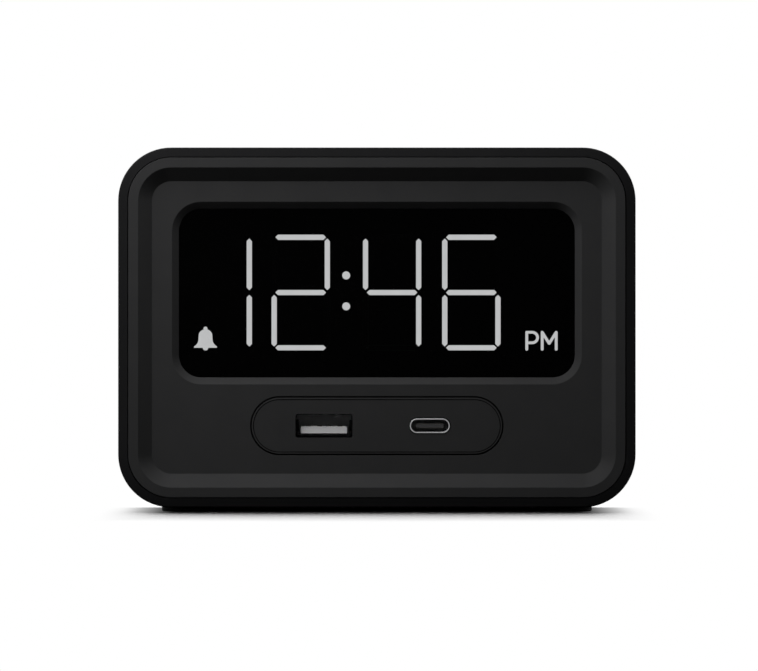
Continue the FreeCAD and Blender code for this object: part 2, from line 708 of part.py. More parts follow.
def outer_shell():
    """The case: a sleeve open at the front and the rear, with openings in its top for the controls."""
    piece = Piece("outer_shell")
    rim_y = front_y + dim.rim_fall
    piece.add(FRONT, rim_y, cover_y, case_outline)
    piece.slope("PartDesign::AdditiveLoft", FRONT, rim_y, case_outline, front_y, mouth_outline)
    piece.round_edges(dim.rim_round, level_edge("y", rim_y))
    piece.cut(FRONT, front_y, bezel_back_y, mouth_outline)
    piece.cut(FRONT, bezel_back_y, cover_y, inside_outline)
    boss_y = cover_y - dim.corner_boss_l
    piece.add(FRONT, boss_y, cover_y, *four_discs(dim.corner_boss_d, corner_x, corner_z, mid_z))
    pilot = dim.cover_screw_d + dim.screw_fit
    pilot_y = cover_y - dim.cover_bite - dim.pilot_more
    piece.cut(FRONT, pilot_y, cover_y, *four_discs(pilot, corner_x, corner_z, mid_z))
    bosses = [Disc(dim.top_boss_d, side * top_boss_x) for side in (-1, 1)]
    piece.add(TOP, top_board_top, ceiling_z + dim.shell_wall / 4, *bosses)
    pilots = [Disc(pilot_d, side * top_boss_x) for side in (-1, 1)]
    piece.cut(TOP, top_board_top, top_board_top + dim.screw_bite + dim.pilot_more, *pilots)
    button_hole = dim.top_button_d + 2 * dim.press_gap
    holes = [Disc(button_hole, side * top_button_x) for side in (-1, 1)]
    piece.cut(TOP, ceiling_z, case_top, snooze_outline.grown(dim.press_gap), *holes)
    seats = four_discs(dim.foot_d + 2 * dim.foot_gap, foot_x, foot_y)
    piece.cut(TOP, case_low, case_low + dim.foot_seat, *seats)


def rubber_feet():
    """Four rubber discs in seats under the case."""
    piece = Piece("rubber_feet")
    piece.add(TOP, 0, case_low + dim.foot_seat, *four_discs(dim.foot_d, foot_x, foot_y))
    piece.round_edges(dim.foot_h / 2, level_edge("z", as_size(0)))


def front_bezel():
    """The front frame: a sloped recess, the display window, the port opening and bosses behind."""
    piece = Piece("front_bezel")
    piece.add(FRONT, front_y, bezel_back_y, bezel_outline)
    piece.cut(FRONT, plate_back_y, bezel_back_y, bezel_outline.grown(-dim.bezel_skirt))
    piece.slope("PartDesign::SubtractiveLoft", FRONT, front_y, recess_outline, recess_y, recess_floor)
    slope_end = recess_y + dim.window_slope
    sloped = window.grown(dim.window_slope)
    piece.slope("PartDesign::SubtractiveLoft", FRONT, recess_y, sloped, slope_end, window)
    piece.cut(FRONT, recess_y, plate_back_y, window)
    piece.cut(FRONT, recess_y, plate_back_y, port_opening)
    piece.round_edges(dim.port_round, level_edge("y", recess_y, within=port_opening))
    bosses = four_discs(dim.boss_d, boss_x, dim.boss_rise, window_z)
    piece.add(FRONT, plate_back_y - dim.plate_t / 2, display_board_y, *bosses)
    pilots = four_discs(pilot_d, boss_x, dim.boss_rise, window_z)
    piece.cut(FRONT, display_board_y - dim.screw_bite - dim.pilot_more, display_board_y, *pilots)


def display_lens():
    """The tinted sheet behind the window."""
    piece = Piece("display_lens")
    outline = Rect(window_w + 2 * dim.lens_lap, dim.window_h + 2 * dim.lens_lap, dim.lens_r, 0, window_z)
    piece.add(FRONT, plate_back_y, lens_back_y, outline)


def port_panel():
    """The insert in the port opening: a groove round its face, a flange and two posts behind it."""
    piece = Piece("port_panel")
    panel = port_opening.grown(-dim.port_gap)
    piece.add(FRONT, recess_y, port_back_y, panel)
    piece.round_edges(dim.port_panel_round, level_edge("y", recess_y))
    line = panel.grown(-dim.port_line_in)
    piece.cut(FRONT, recess_y, recess_y + dim.port_line_d, line, line.grown(-dim.port_line_w))
    piece.add(FRONT, plate_back_y, port_back_y, port_opening.grown(dim.port_lap))
    posts = [Disc(dim.port_post_d, side * dim.port_post_x, port_z) for side in (-1, 1)]
    piece.add(FRONT, port_back_y - dim.port_flange_t / 2, usb_board_y, *posts)
    pilots = [Disc(pilot_d, side * dim.port_post_x, port_z) for side in (-1, 1)]
    piece.cut(FRONT, usb_board_y - dim.screw_bite - dim.pilot_more, usb_board_y, *pilots)
    large = usb_a_outline.grown(-dim.usb_lip)
    small = usb_c_outline.grown(dim.usb_c_gap)
    piece.cut(FRONT, recess_y, port_back_y, large, small)
    piece.cut(FRONT, recess_y + dim.usb_lip_t, port_back_y, usb_a_outline.grown(dim.usb_fit))


def usb_a_socket():
    """The large socket: a sheet metal shell, a tongue on an insulator block, and four contacts."""
    inner = usb_a_outline.grown(-dim.usb_metal)
    back_y = usb_board_y - dim.usb_metal
    shell = Piece("usb_a_shell")
    shell.add(FRONT, usb_a_front_y, usb_board_y, usb_a_outline)
    shell.cut(FRONT, usb_a_front_y, back_y, inner)
    tongue = Piece("usb_a_tongue")
    tongue_z = port_z - dim.usb_a_tongue_drop
    tongue_y = usb_a_front_y + dim.usb_a_tongue_in
    tongue_outline = Rect(dim.usb_a_tongue_w, dim.usb_a_tongue_t, 0, -dim.usb_x, tongue_z)
    tongue.add(FRONT, back_y - dim.usb_block, back_y, inner.grown(-dim.usb_air))
    tongue.add(FRONT, tongue_y, back_y - dim.usb_block / 2, tongue_outline)
    face_z = tongue_z + dim.usb_a_tongue_t / 2
    outer_x = dim.usb_a_tongue_w / 2 - dim.usb_a_pin_edge
    half_w = dim.usb_a_pin_w / 2
    contacts = []
    for across in (-outer_x, -dim.usb_a_pin_x, dim.usb_a_pin_x, outer_x):
        middle = across - dim.usb_x
        low = (middle - half_w, tongue_y + dim.pin_in, face_z)
        high = (middle + half_w, back_y - dim.usb_block, face_z + dim.pin_t)
        contacts.append(box(low, high))
    group("usb_a_contacts", contacts)


def usb_c_socket():
    """The small socket: a seamless shell, a tongue on an insulator block, and contacts on both its sides."""
    inner = usb_c_outline.grown(-dim.usb_metal)
    back_y = usb_board_y - dim.usb_metal
    shell = Piece("usb_c_shell")
    shell.add(FRONT, usb_c_front_y, usb_board_y, usb_c_outline)
    shell.cut(FRONT, usb_c_front_y, back_y, inner)
    tongue = Piece("usb_c_tongue")
    tongue_y = usb_c_front_y + dim.usb_c_tongue_in
    tongue_outline = Rect(dim.usb_c_tongue_w, dim.usb_c_tongue_t, 0, dim.usb_x, port_z)
    block_y = back_y - 2 * dim.usb_block
    tongue.add(FRONT, block_y, back_y, inner.grown(-dim.usb_air))
    tongue.add(FRONT, tongue_y, back_y - dim.usb_block, tongue_outline)
    count = 12
    reach = dim.usb_c_tongue_w / 2 - dim.usb_c_pin_edge
    pitch = 2 * reach / (count - 1)
    top_z, bottom_z = port_z + dim.usb_c_tongue_t / 2, port_z - dim.usb_c_tongue_t / 2
    contacts = []
    for low_z in (top_z, bottom_z - dim.pin_t):
        for step in range(count):
            middle = dim.usb_x - reach + step * pitch
            low = (middle - pitch / 4, tongue_y + dim.pin_in, low_z)
            contacts.append(box(low, (middle + pitch / 4, block_y, low_z + dim.pin_t)))
    group("usb_c_contacts", contacts)


def board_screws(label, places, seat_y, bite):
    """Screws that come in from behind a board, heads on its rear face."""
    piece = Piece(label)
    shafts = [Disc(dim.screw_d, x, z) for x, z in places]
    heads = [Disc(dim.screw_head_d, x, z) for x, z in places]
    sockets = [Disc(dim.screw_socket, x, z) for x, z in places]
    piece.add(FRONT, seat_y - bite, seat_y, *shafts)
    piece.add(FRONT, seat_y, seat_y + dim.screw_head_t, *heads)
    piece.cut(FRONT, seat_y + dim.screw_head_t / 2, seat_y + dim.screw_head_t, *sockets)


def usb_board():
    """The board of the sockets, screwed to the posts of the port panel."""
    piece = Piece("usb_board")
    back_y = usb_board_y + dim.board_t
    piece.add(FRONT, usb_board_y, back_y, Rect(dim.usb_board_w, dim.usb_board_h, 0, 0, port_z))
    places = [(side * dim.port_post_x, port_z) for side in (-1, 1)]
    piece.cut(FRONT, usb_board_y, back_y, *[Disc(clear_d, x, z) for x, z in places])
    board_screws("usb_board_screws", places, back_y, dim.screw_bite + dim.board_t)


def display_board():
    """The board of the display, screwed to the bosses of the bezel."""
    piece = Piece("display_board")
    board_w = 2 * (hollow_x - dim.board_side)
    back_y = display_board_y + dim.board_t
    piece.add(FRONT, display_board_y, back_y, Rect(board_w, dim.display_board_h, 0, 0, window_z))
    places = [(sx * boss_x, window_z + sz * dim.boss_rise) for sx, sz in four_ways]
    piece.cut(FRONT, display_board_y, back_y, *[Disc(clear_d, x, z) for x, z in places])
    board_screws("display_board_screws", places, back_y, dim.screw_bite + dim.board_t)


# Display: light guides stand on light chips and end flush with the front of a dark block.


def bar_face(x, z, length, width, upright):
    """A six-sided bar with pointed ends, seen from the front."""
    half, tip = length / 2, width / 2
    run = half - tip
    along = ((-half, 0), (-run, -tip), (run, -tip), (half, 0), (run, tip), (-run, tip))
    points = [(b, a) if upright else (a, b) for a, b in along]
    corners = [Vector(x + across, 0, z + up) for across, up in points]
    return Part.Face(Part.makePolygon(corners + corners[:1]))


def disc_face(x, z, across):
    """A round patch, seen from the front."""
    circle = Part.Circle(Vector(x, 0, z), Vector(0, -1, 0), across / 2)
    return Part.Face(Part.Wire(circle.toShape()))


def stroke(start, end, width):
    """The patches of a stroke with round ends between two points, seen from the front."""
    (x0, z0), (x1, z1) = start, end
    length = math.hypot(x1 - x0, z1 - z0)
    side = Vector(-(z1 - z0) / length, 0, (x1 - x0) / length) * (width / 2)
    low, high = Vector(x0, 0, z0), Vector(x1, 0, z1)
    band = Part.Face(Part.makePolygon([low + side, high + side, high - side, low - side, low + side]))
    return [band, disc_face(x0, z0, width), disc_face(x1, z1, width)]


def digit_bars(x, names, grow=0.0):
    """The named bars of a seven-bar digit centred on x."""
    z = window_z.value + dim.digit_rise.value
    half_w, half_h = dim.digit_w.value / 2, dim.digit_h.value / 2
    width = dim.bar_w.value + 2 * grow
    reach = 2 * grow * math.sqrt(2)
    flat = 2 * half_w - 2 * dim.bar_gap.value + reach
    upright = half_h - dim.bar_gap.value - dim.bar_mid_gap.value + reach
    lean = (dim.bar_mid_gap.value - dim.bar_gap.value) / 2
    places = {
        "a": (0, half_h, flat, False),
        "g": (0, 0, flat, False),
        "d": (0, -half_h, flat, False),
        "f": (-half_w, half_h / 2 + lean, upright, True),
        "b": (half_w, half_h / 2 + lean, upright, True),
        "e": (-half_w, -half_h / 2 - lean, upright, True),
        "c": (half_w, -half_h / 2 - lean, upright, True),
    }
    faces = []
    for name in names:
        dx, dz, length, stands = places[name]
        faces.append(bar_face(x + dx, z + dz, length, width, stands))
    return faces


def colon_faces(grow=0.0):
    """The two dots between the hours and the minutes."""
    z = window_z.value + dim.digit_rise.value + dim.colon_rise.value
    rise = dim.colon_pitch.value / 2
    across = dim.colon_d.value + 2 * grow
    return [disc_face(dim.colon_x.value, z + side * rise, across) for side in (-1, 1)]


# The bell's flank from its brim up to its shoulder, as shares of half its width and of its height.
BELL_FLANK = ((1.0, 0.0), (1.0, 0.07), (0.71, 0.24), (0.61, 0.5), (0.58, 0.74))


def bell(grow=0.0):
    """The patches of a plain bell: a domed body with a flared brim, a knob on top and a clapper under it."""
    x = dim.bell_x.value
    high, half = dim.bell_h.value, dim.bell_w.value / 2
    top = window_z.value - dim.bell_drop.value
    brim = top - high
    edges = []
    ends = []
    for side in (-1, 1):
        points = [Vector(x + side * across * half, 0, brim + up * high) for across, up in BELL_FLANK]
        corner, lip, flare, waist, shoulder = points
        edges += [Part.LineSegment(corner, lip), Part.Arc(lip, flare, waist)]
        edges.append(Part.LineSegment(waist, shoulder))
        ends.append((corner, shoulder))
    (left_corner, left_shoulder), (right_corner, right_shoulder) = ends
    edges.append(Part.LineSegment(left_corner, right_corner))
    edges.append(Part.Arc(left_shoulder, Vector(x, 0, top), right_shoulder))
    body = Part.Face(Part.Wire(Part.__sortEdges__([edge.toShape() for edge in edges])))
    if grow:
        body = body.makeOffset2D(grow)
    knob = disc_face(x, top + dim.bell_knob_rise.value, dim.bell_knob_d.value + 2 * grow)
    clapper = disc_face(x, brim, dim.clapper_d.value + 2 * grow)
    return [body, knob, clapper]


def letters(grow=0.0):
    """The patches of the letters P and M, in strokes with round ends."""
    x = dim.letter_x.value
    top = window_z.value - dim.letter_drop.value
    low = top - dim.letter_h.value
    width, wide = dim.stroke.value + 2 * grow, dim.letter_w.value
    bowl = dim.bowl_r.value
    neck, turn_z = x + dim.bowl_x.value, top - bowl

    def at(reach, quarter):
        angle = quarter * math.pi / 2
        return Vector(neck + reach * math.cos(angle), 0, turn_z + reach * math.sin(angle))

    outer, inner = bowl + width / 2, bowl - width / 2
    edges = [
        Part.Arc(at(outer, 1), at(outer, 0), at(outer, -1)),
        Part.LineSegment(at(outer, -1), at(inner, -1)),
        Part.Arc(at(inner, -1), at(inner, 0), at(inner, 1)),
        Part.LineSegment(at(inner, 1), at(outer, 1)),
    ]
    arch = Part.Face(Part.Wire([edge.toShape() for edge in edges]))
    first = [arch] + stroke((x, top), (x, low), width)
    for z in (top, turn_z - bowl):
        first += stroke((x, z), (neck, z), width)
    left, right = x + dim.letter_pitch.value, x + dim.letter_pitch.value + wide
    dip = ((left + right) / 2, top - dim.letter_dip.value)
    corners = [(left, low), (left, top), dip, (right, top), (right, low)]
    second = [patch for start, end in zip(corners, corners[1:]) for patch in stroke(start, end, width)]
    return first, second


def raised(faces, low, high):
    """Flat shapes given the depth between two levels of Y."""
    solids = []
    for face in faces:
        prism = face.extrude(Vector(0, high - low, 0))
        prism.translate(Vector(0, low, 0))
        solids.append(prism)
    return solids


def raised_whole(faces, low, high):
    """Overlapping flat shapes given depth as one solid."""
    first, *others = raised(faces, low, high)
    return first.fuse(others).removeSplitter().Solids[0]


def boxes_round(faces, grow):
    """The plain rectangle round each flat shape, a little larger."""
    around = []
    for face in faces:
        edge = face.BoundBox
        low = Vector(edge.XMin - grow, 0, edge.ZMin - grow)
        high = Vector(edge.XMax + grow, 0, edge.ZMax + grow)
        corners = [low, Vector(high.x, 0, low.z), high, Vector(low.x, 0, high.z), low]
        around.append(Part.Face(Part.makePolygon(corners)))
    return around


DIGITS = (
    # node, centre, lit bars, bars that the digit has
    ("hour_tens_bars", dim.hour_tens_x - dim.digit_w / 2, "bc", "bc"),
    ("hour_bars", dim.hour_x, "abged", "abcdefg"),
    ("minute_tens_bars", dim.minute_tens_x, "fgbc", "abcdefg"),
    ("minute_bars", dim.minute_x, "afgedc", "abcdefg"),
)


def display_stack():
    """The light guides, the light chips under them and the dark block that holds them apart."""
    guide_low, guide_high = block_front_y.value, display_board_y.value - dim.led_t.value
    gap = dim.guide_gap.value
    unlit = []
    cavities = colon_faces(gap)
    lamps = colon_faces()
    for label, centre, lit, fitted in DIGITS:
        fixed_shape(label, Part.Compound(raised(digit_bars(centre.value, lit), guide_low, guide_high)))
        unlit += digit_bars(centre.value, [name for name in fitted if name not in lit])
        cavities += digit_bars(centre.value, fitted, gap)
        lamps += digit_bars(centre.value, fitted)
    fixed_shape("colon_dots", Part.Compound(raised(colon_faces(), guide_low, guide_high)))
    fixed_shape("unlit_bars", Part.Compound(raised(unlit, guide_low, guide_high)))
    fixed_shape("alarm_bell_symbol", raised_whole(bell(), guide_low, guide_high))
    letter_p, letter_m = (raised_whole(letter, guide_low, guide_high) for letter in letters())
    notch_low = chamber_y.value - dim.rib_t.value - gap
    notch = rib_across_bowl(notch_low, guide_high + PAST, dim.rib_w.value + 2 * gap)
    fixed_shape("pm_symbol", Part.Compound([letter_p.cut(notch), letter_m]))
    symbols = [Part.Compound(patches) for patches in (bell(), *letters())]
    fixed_shape("display_leds", Part.Compound([chip_under(face) for face in lamps + symbols]))
    fixed_shape("display_block", light_block(cavities, (bell(gap), *letters(gap)), boxes_round(symbols, gap)))


def light_block(cavities, windows, chambers):
    """The dark block: hollows right through it, windows in its front part and chambers behind the windows."""
    front_y, web_y, back_y = block_front_y.value, chamber_y.value, display_board_y.value
    wide = (window_w + 2 * dim.block_lap).value
    high = (dim.window_h + 2 * dim.block_lap).value
    corner = Vector(-wide / 2, front_y, window_z.value - high / 2)
    block = Part.makeBox(wide, back_y - front_y, high, corner)
    holes = raised(cavities, front_y - PAST, back_y + PAST)
    holes += [raised_whole(patches, front_y - PAST, web_y) for patches in windows]
    holes += raised(chambers, web_y, back_y + PAST)
    rib = rib_across_bowl(web_y - dim.rib_t.value, web_y, dim.rib_w.value)
    return block.cut(holes).fuse(rib).removeSplitter().Solids[0]


def rib_across_bowl(low_y, high_y, wide):
    """A bar from the middle of P's bowl to beyond its right side, between two levels of Y."""
    turn_z = window_z.value - dim.letter_drop.value - dim.bowl_r.value
    corner = Vector(dim.letter_x.value + dim.bowl_x.value, low_y, turn_z - wide / 2)
    return Part.makeBox(dim.bowl_r.value + dim.stroke.value, high_y - low_y, wide, corner)


def chip_under(face):
    """A light chip on the display board, under the middle of a light guide."""
    edge, half = face.BoundBox, dim.led_w.value / 2
    middle_x, middle_z = (edge.XMin + edge.XMax) / 2, (edge.ZMin + edge.ZMax) / 2
    corner = Vector(middle_x - half, display_board_y.value - dim.led_t.value, middle_z - half)
    return Part.makeBox(2 * half, dim.led_t.value, 2 * half, corner)


# Top controls


def top_control(label, cap, stems):
    """A control in the top of the case: a cap, a stop flange inside and stems to its switches."""
    piece = Piece(label)
    flange_top = ceiling_z - dim.flange_air
    flange_low = flange_top - dim.flange_t
    piece.add(TOP, flange_low, flange_top, cap.grown(dim.flange_lap))
    piece.add(TOP, flange_low, case_top - dim.press_drop, cap)
    piece.round_edges(dim.press_round, level_edge("z", case_top - dim.press_drop))
    stem_low = top_board_top + dim.switch_floor + dim.stop_gap + dim.top_travel
    piece.add(TOP, stem_low, flange_low + dim.flange_t / 2, *[Disc(dim.stem_d, x) for x in stems])


def top_controls():
    """The snooze bar and the two round buttons beside it."""
    top_control("snooze_bar", snooze_outline, [-snooze_stem_x, snooze_stem_x])
    for label, side in (("alarm_button", -1), ("brightness_button", 1)):
        x = side * top_button_x
        top_control(label, Disc(dim.top_button_d, x), [x])


def push_switches(label, view, board_face, places):
    """Push switches on a board: square housings with a bore for the stem that works them."""
    piece = Piece(label)
    top = board_face + dim.switch_t
    piece.add(view, board_face, top, *[Rect(dim.switch_w, dim.switch_w, 0, x, z) for x, z in places])
    bores = [Disc(dim.stem_d + 2 * dim.stem_fit, x, z) for x, z in places]
    piece.cut(view, board_face + dim.switch_floor, top, *bores)


def top_board():
    """The board under the top controls, with its switches and screws."""
    piece = Piece("top_board")
    piece.add(TOP, top_board_low, top_board_top, Rect(top_board_w, dim.top_board_d))
    piece.cut(TOP, top_board_low, top_board_top, *[Disc(clear_d, side * top_boss_x) for side in (-1, 1)])
    stems = (snooze_stem_x, top_button_x)
    places = [(side * x, as_size(0)) for x in stems for side in (-1, 1)]
    push_switches("top_push_switches", TOP, top_board_top, places)
    screws = Piece("top_board_screws")
    ends = [side * top_boss_x for side in (-1, 1)]
    screws.add(TOP, top_board_low, top_board_top + dim.screw_bite, *[Disc(dim.screw_d, x) for x in ends])
    head_low = top_board_low - dim.screw_head_t
    screws.add(TOP, head_low, top_board_low, *[Disc(dim.screw_head_d, x) for x in ends])
    screws.cut(TOP, head_low, head_low + dim.screw_head_t / 2, *[Disc(dim.screw_socket, x) for x in ends])


# Rear cover and rear controls


def rear_cover():
    """The rear plate: lip, posts, control recess, grille, and openings for the inlet and the drawer."""
    piece = Piece("rear_cover")
    piece.add(FRONT, cover_y, rear_y, case_outline)
    piece.round_edges(dim.cover_round, level_edge("y", rear_y))
    lip = inside_outline.grown(-dim.cover_fit)
    piece.add(FRONT, lip_y, cover_y + dim.cover_t / 2, lip, lip.grown(-dim.lip_t))
    notch = dim.corner_boss_d + 2 * dim.cover_fit
    piece.cut(FRONT, lip_y, cover_y, *four_discs(notch, corner_x, corner_z, mid_z))
    posts = four_discs(dim.main_post_d, main_post_x, main_post_rise, main_z)
    piece.add(FRONT, main_back_y, cover_y + dim.cover_t / 2, *posts)
    pilots = four_discs(pilot_d, main_post_x, main_post_rise, main_z)
    piece.cut(FRONT, main_back_y, main_back_y + dim.screw_bite + dim.pilot_more, *pilots)
    through = dim.cover_screw_d + dim.board_hole
    piece.cut(FRONT, cover_y, rear_y, *four_discs(through, corner_x, corner_z, mid_z))
    sunk_y = rear_y - dim.cover_head_t - dim.cover_head_in
    heads = four_discs(dim.cover_head_d + 2 * dim.head_gap, corner_x, corner_z, mid_z)
    piece.cut(FRONT, sunk_y, rear_y, *heads)
    piece.cut(FRONT, panel_y, rear_y, Slot(dim.panel_w, dim.panel_h, 0, controls_z))
    hole = dim.rear_button_d + 2 * dim.press_gap
    slot_w = dim.knob_w + dim.knob_travel + 2 * dim.knob_gap
    slot_x = dim.knob_x + dim.knob_travel / 2
    slot = Rect(slot_w, dim.knob_h + 2 * dim.knob_gap, 0, slot_x, controls_z)
    piece.cut(FRONT, cover_y, panel_y, slot, *[Disc(hole, x, controls_z) for x in rear_button_x])
    piece.cut(FRONT, cover_y, rear_y, *grille_holes())
    nose = Disc(dim.jack_nose_d + 2 * dim.jack_gap, dim.jack_x, jack_z)
    piece.cut(FRONT, cover_y, rear_y, nose)
    piece.cut(FRONT, lip_y, rear_y, drawer_face.grown(dim.drawer_gap))


def grille_holes():
    """The holes in front of the buzzer: one in the middle and two rings round it."""
    holes = [Disc(dim.grille_d, dim.buzzer_x, buzzer_z)]
    for ring, count in ((1, 6), (2, 12)):
        for step in range(count):
            angle = 2 * math.pi * step / count
            reach = ring * dim.grille_pitch
            x = dim.buzzer_x + reach * round(math.cos(angle), 6)
            z = buzzer_z + reach * round(math.sin(angle), 6)
            holes.append(Disc(dim.grille_d, x, z))
    return holes


def rear_cover_screws():
    """The four screws that hold the cover to the case."""
    piece = Piece("rear_cover_screws")
    head_top = rear_y - dim.cover_head_in
    head_low = head_top - dim.cover_head_t
    piece.add(FRONT, head_low, head_top, *four_discs(dim.cover_head_d, corner_x, corner_z, mid_z))
    shafts = four_discs(dim.cover_screw_d, corner_x, corner_z, mid_z)
    piece.add(FRONT, cover_y - dim.cover_bite, head_low, *shafts)
    places = [(sx * corner_x, mid_z + sz * corner_z) for sx, sz in four_ways]
    for wide, high in ((dim.cross_l, dim.cross_w), (dim.cross_w, dim.cross_l)):
        slots = [Rect(wide, high, 0, x, z) for x, z in places]
        piece.cut(FRONT, head_top - dim.cross_d, head_top, *slots)


def rear_controls():
    """Four push buttons with their switches, and the slide switch with its knob."""
    stem_low = main_back_y + dim.switch_floor + dim.stop_gap + dim.rear_travel
    flange_high = cover_y - dim.flange_air
    flange_low = flange_high - dim.flange_t
    labels = ("time_set_button", "alarm_set_button", "hour_button", "minute_button")
    for label, x in zip(labels, rear_button_x):
        piece = Piece(label)
        cap_high = panel_y + dim.rear_button_out
        piece.add(FRONT, flange_low, cap_high, Disc(dim.rear_button_d, x, controls_z))
        piece.round_edges(dim.press_round, level_edge("y", cap_high))
        flange = Disc(dim.rear_button_d + 2 * dim.flange_lap, x, controls_z)
        piece.add(FRONT, flange_low, flange_high, flange)
        piece.add(FRONT, stem_low, flange_low + dim.flange_t / 2, Disc(dim.stem_d, x, controls_z))
    push_switches("rear_push_switches", FRONT, main_back_y, [(x, controls_z) for x in rear_button_x])
    housing = Piece("slide_switch_housing")
    slot_x = dim.knob_x + dim.knob_travel / 2
    top = main_back_y + dim.slider_t
    housing.add(FRONT, main_back_y, top, Rect(dim.slider_w, dim.slider_h, 0, slot_x, controls_z))
    bore_w = dim.knob_stem + dim.knob_travel + 2 * dim.knob_gap
    bore = Rect(bore_w, dim.knob_stem + 2 * dim.knob_gap, 0, slot_x, controls_z)
    housing.cut(FRONT, main_back_y + dim.switch_floor, top, bore)
    knob = Piece("daylight_saving_knob")
    knob_high = panel_y + dim.rear_button_out
    knob.add(FRONT, top + dim.knob_gap, knob_high, Rect(dim.knob_w, dim.knob_h, 0, dim.knob_x, controls_z))
    groove_x = [dim.knob_x + step * dim.knob_groove_pitch for step in (-1, 0, 1)]
    grooves = [Rect(dim.knob_groove, dim.knob_h, 0, x, controls_z) for x in groove_x]
    knob.cut(FRONT, knob_high - dim.knob_groove_d, knob_high, *grooves)
    stem = Rect(dim.knob_stem, dim.knob_stem, 0, dim.knob_x, controls_z)
    knob.add(FRONT, main_back_y + dim.switch_floor + dim.stop_gap, top + 2 * dim.knob_gap, stem)


# Main board


def main_board():
    """The main board on its four posts, with its screws."""
    piece = Piece("main_board")
    piece.add(FRONT, main_front_y, main_back_y, Rect(main_board_w, main_high - main_low, 0, 0, main_z))
    places = [(sx * main_post_x, main_z + sz * main_post_rise) for sx, sz in four_ways]
    piece.cut(FRONT, main_front_y, main_back_y, *[Disc(clear_d, x, z) for x, z in places])
    screws = Piece("main_board_screws")
    head_low = main_front_y - dim.screw_head_t
    shafts = [Disc(dim.screw_d, x, z) for x, z in places]
    screws.add(FRONT, main_front_y, main_back_y + dim.screw_bite, *shafts)
    screws.add(FRONT, head_low, main_front_y, *[Disc(dim.screw_head_d, x, z) for x, z in places])
    socket_y = head_low + dim.screw_head_t / 2
    screws.cut(FRONT, head_low, socket_y, *[Disc(dim.screw_socket, x, z) for x, z in places])


def board_parts():
    """What the main board carries on its front: chip, capacitors, inductor and crystal."""
    chip_x, chip_z = as_size(0), mid_z + dim.chip_rise
    half = dim.chip_w / 2
    chip_low = (chip_x - half, main_front_y - dim.chip_t, chip_z - half)
    keep("controller_chip", box(chip_low, (chip_x + half, main_front_y, chip_z + half)))
    pitch = dim.capacitor_d + dim.capacitor_gap
    low_y = main_front_y - dim.capacitor_l
    places = [(dim.jack_x - step * pitch, jack_z) for step in (0, 1)]
    group("capacitors", [rod(dim.capacitor_d, spot, low_y, main_front_y) for spot in places])
    half = dim.inductor_w / 2
    coil_x = dim.jack_x - 2 * pitch - half
    coil_y = main_front_y - dim.inductor_t
    block = box((coil_x - half, coil_y, jack_z - half), (coil_x + half, main_front_y, jack_z + half))
    dimple = rod(dim.dimple_d, (coil_x, jack_z), coil_y, coil_y + dim.dimple_t)
    keep("power_inductor", cut_away(block, [dimple]))
    can_z = chip_z + dim.chip_w
    can_y = main_front_y - dim.crystal_d / 2
    can = rod(dim.crystal_d, (can_y, can_z), chip_x - dim.crystal_l / 2, chip_x + dim.crystal_l / 2, "x")
    keep("crystal", can)


def alarm_buzzer():
    """The buzzer behind the grille."""
    high_y = main_back_y + dim.buzzer_t
    can = rod(dim.buzzer_d, (dim.buzzer_x, buzzer_z), main_back_y, high_y)
    hole = rod(dim.buzzer_hole, (dim.buzzer_x, buzzer_z), high_y - dim.buzzer_t / 2, high_y)
    keep("alarm_buzzer", cut_away(can, [hole]))


def power_inlet():
    """The round power inlet: a body on the main board, its nose in the cover and the pin in its bore."""
    body = Piece("dc_jack_body")
    shoulder_y = cover_y - dim.flange_air
    mouth_y = rear_y - dim.jack_in
    floor_y = main_back_y + dim.jack_floor
    body.add(FRONT, main_back_y, shoulder_y, Rect(dim.jack_w, dim.jack_h, 0, dim.jack_x, jack_z))
    body.add(FRONT, shoulder_y, mouth_y, Disc(dim.jack_nose_d, dim.jack_x, jack_z))
    body.cut(FRONT, floor_y, mouth_y, Disc(dim.jack_bore, dim.jack_x, jack_z))
    pin = rod(dim.jack_pin_d, (dim.jack_x, jack_z), floor_y, mouth_y - dim.jack_pin_in)
    keep("dc_jack_pin", pin)


# Battery drawer


def battery_drawer():
    """The drawer that slides out of the rear with the backup cell, its sleeve and the contacts in it."""
    cell_y = drawer_front_y + drawer_reach / 2
    cell_low = drawer_low + dim.drawer_floor
    drawer = Piece("battery_drawer")
    drawer.add(FRONT, drawer_front_y, rear_y, drawer_face)
    drawer.cut(TOP, cell_low, drawer_low + drawer_h, Disc(dim.cell_d + 2 * dim.cell_gap, 0, cell_y))
    notch = Rect(dim.grip_w, drawer_h / 2, 0, 0, drawer_low + drawer_h / 4)
    drawer.cut(FRONT, rear_y - dim.grip_d, rear_y, notch)
    cell = Piece("backup_cell")
    cell.add(TOP, cell_low, cell_low + dim.cell_t, Disc(dim.cell_d, 0, cell_y))
    cell.round_edges(dim.cell_round, lambda edge: edge.Closed)
    sleeve = Piece("battery_sleeve")
    inner_z = sleeve_inner_low + sleeve_inner_h / 2
    inner = Rect(dim.drawer_w + 2 * dim.drawer_gap, sleeve_inner_h, 0, 0, inner_z)
    sleeve_front_y = drawer_front_y - dim.drawer_gap - dim.sleeve_wall
    sleeve_back_y = lip_y - dim.cover_fit
    sleeve.add(FRONT, sleeve_front_y, sleeve_back_y, inner.grown(dim.sleeve_wall))
    sleeve.cut(FRONT, sleeve_front_y + dim.sleeve_wall, sleeve_back_y, inner)
    leaf_high = sleeve_inner_low + sleeve_inner_h
    half_w, half_l = dim.leaf_w / 2, dim.leaf_l / 2
    leaves = []
    for x in (-dim.leaf_x, dim.leaf_x):
        low = (x - half_w, cell_y - half_l, leaf_high - dim.leaf_t)
        leaves.append(box(low, (x + half_w, cell_y + half_l, leaf_high)))
    group("battery_contacts", leaves)


# Flat cables


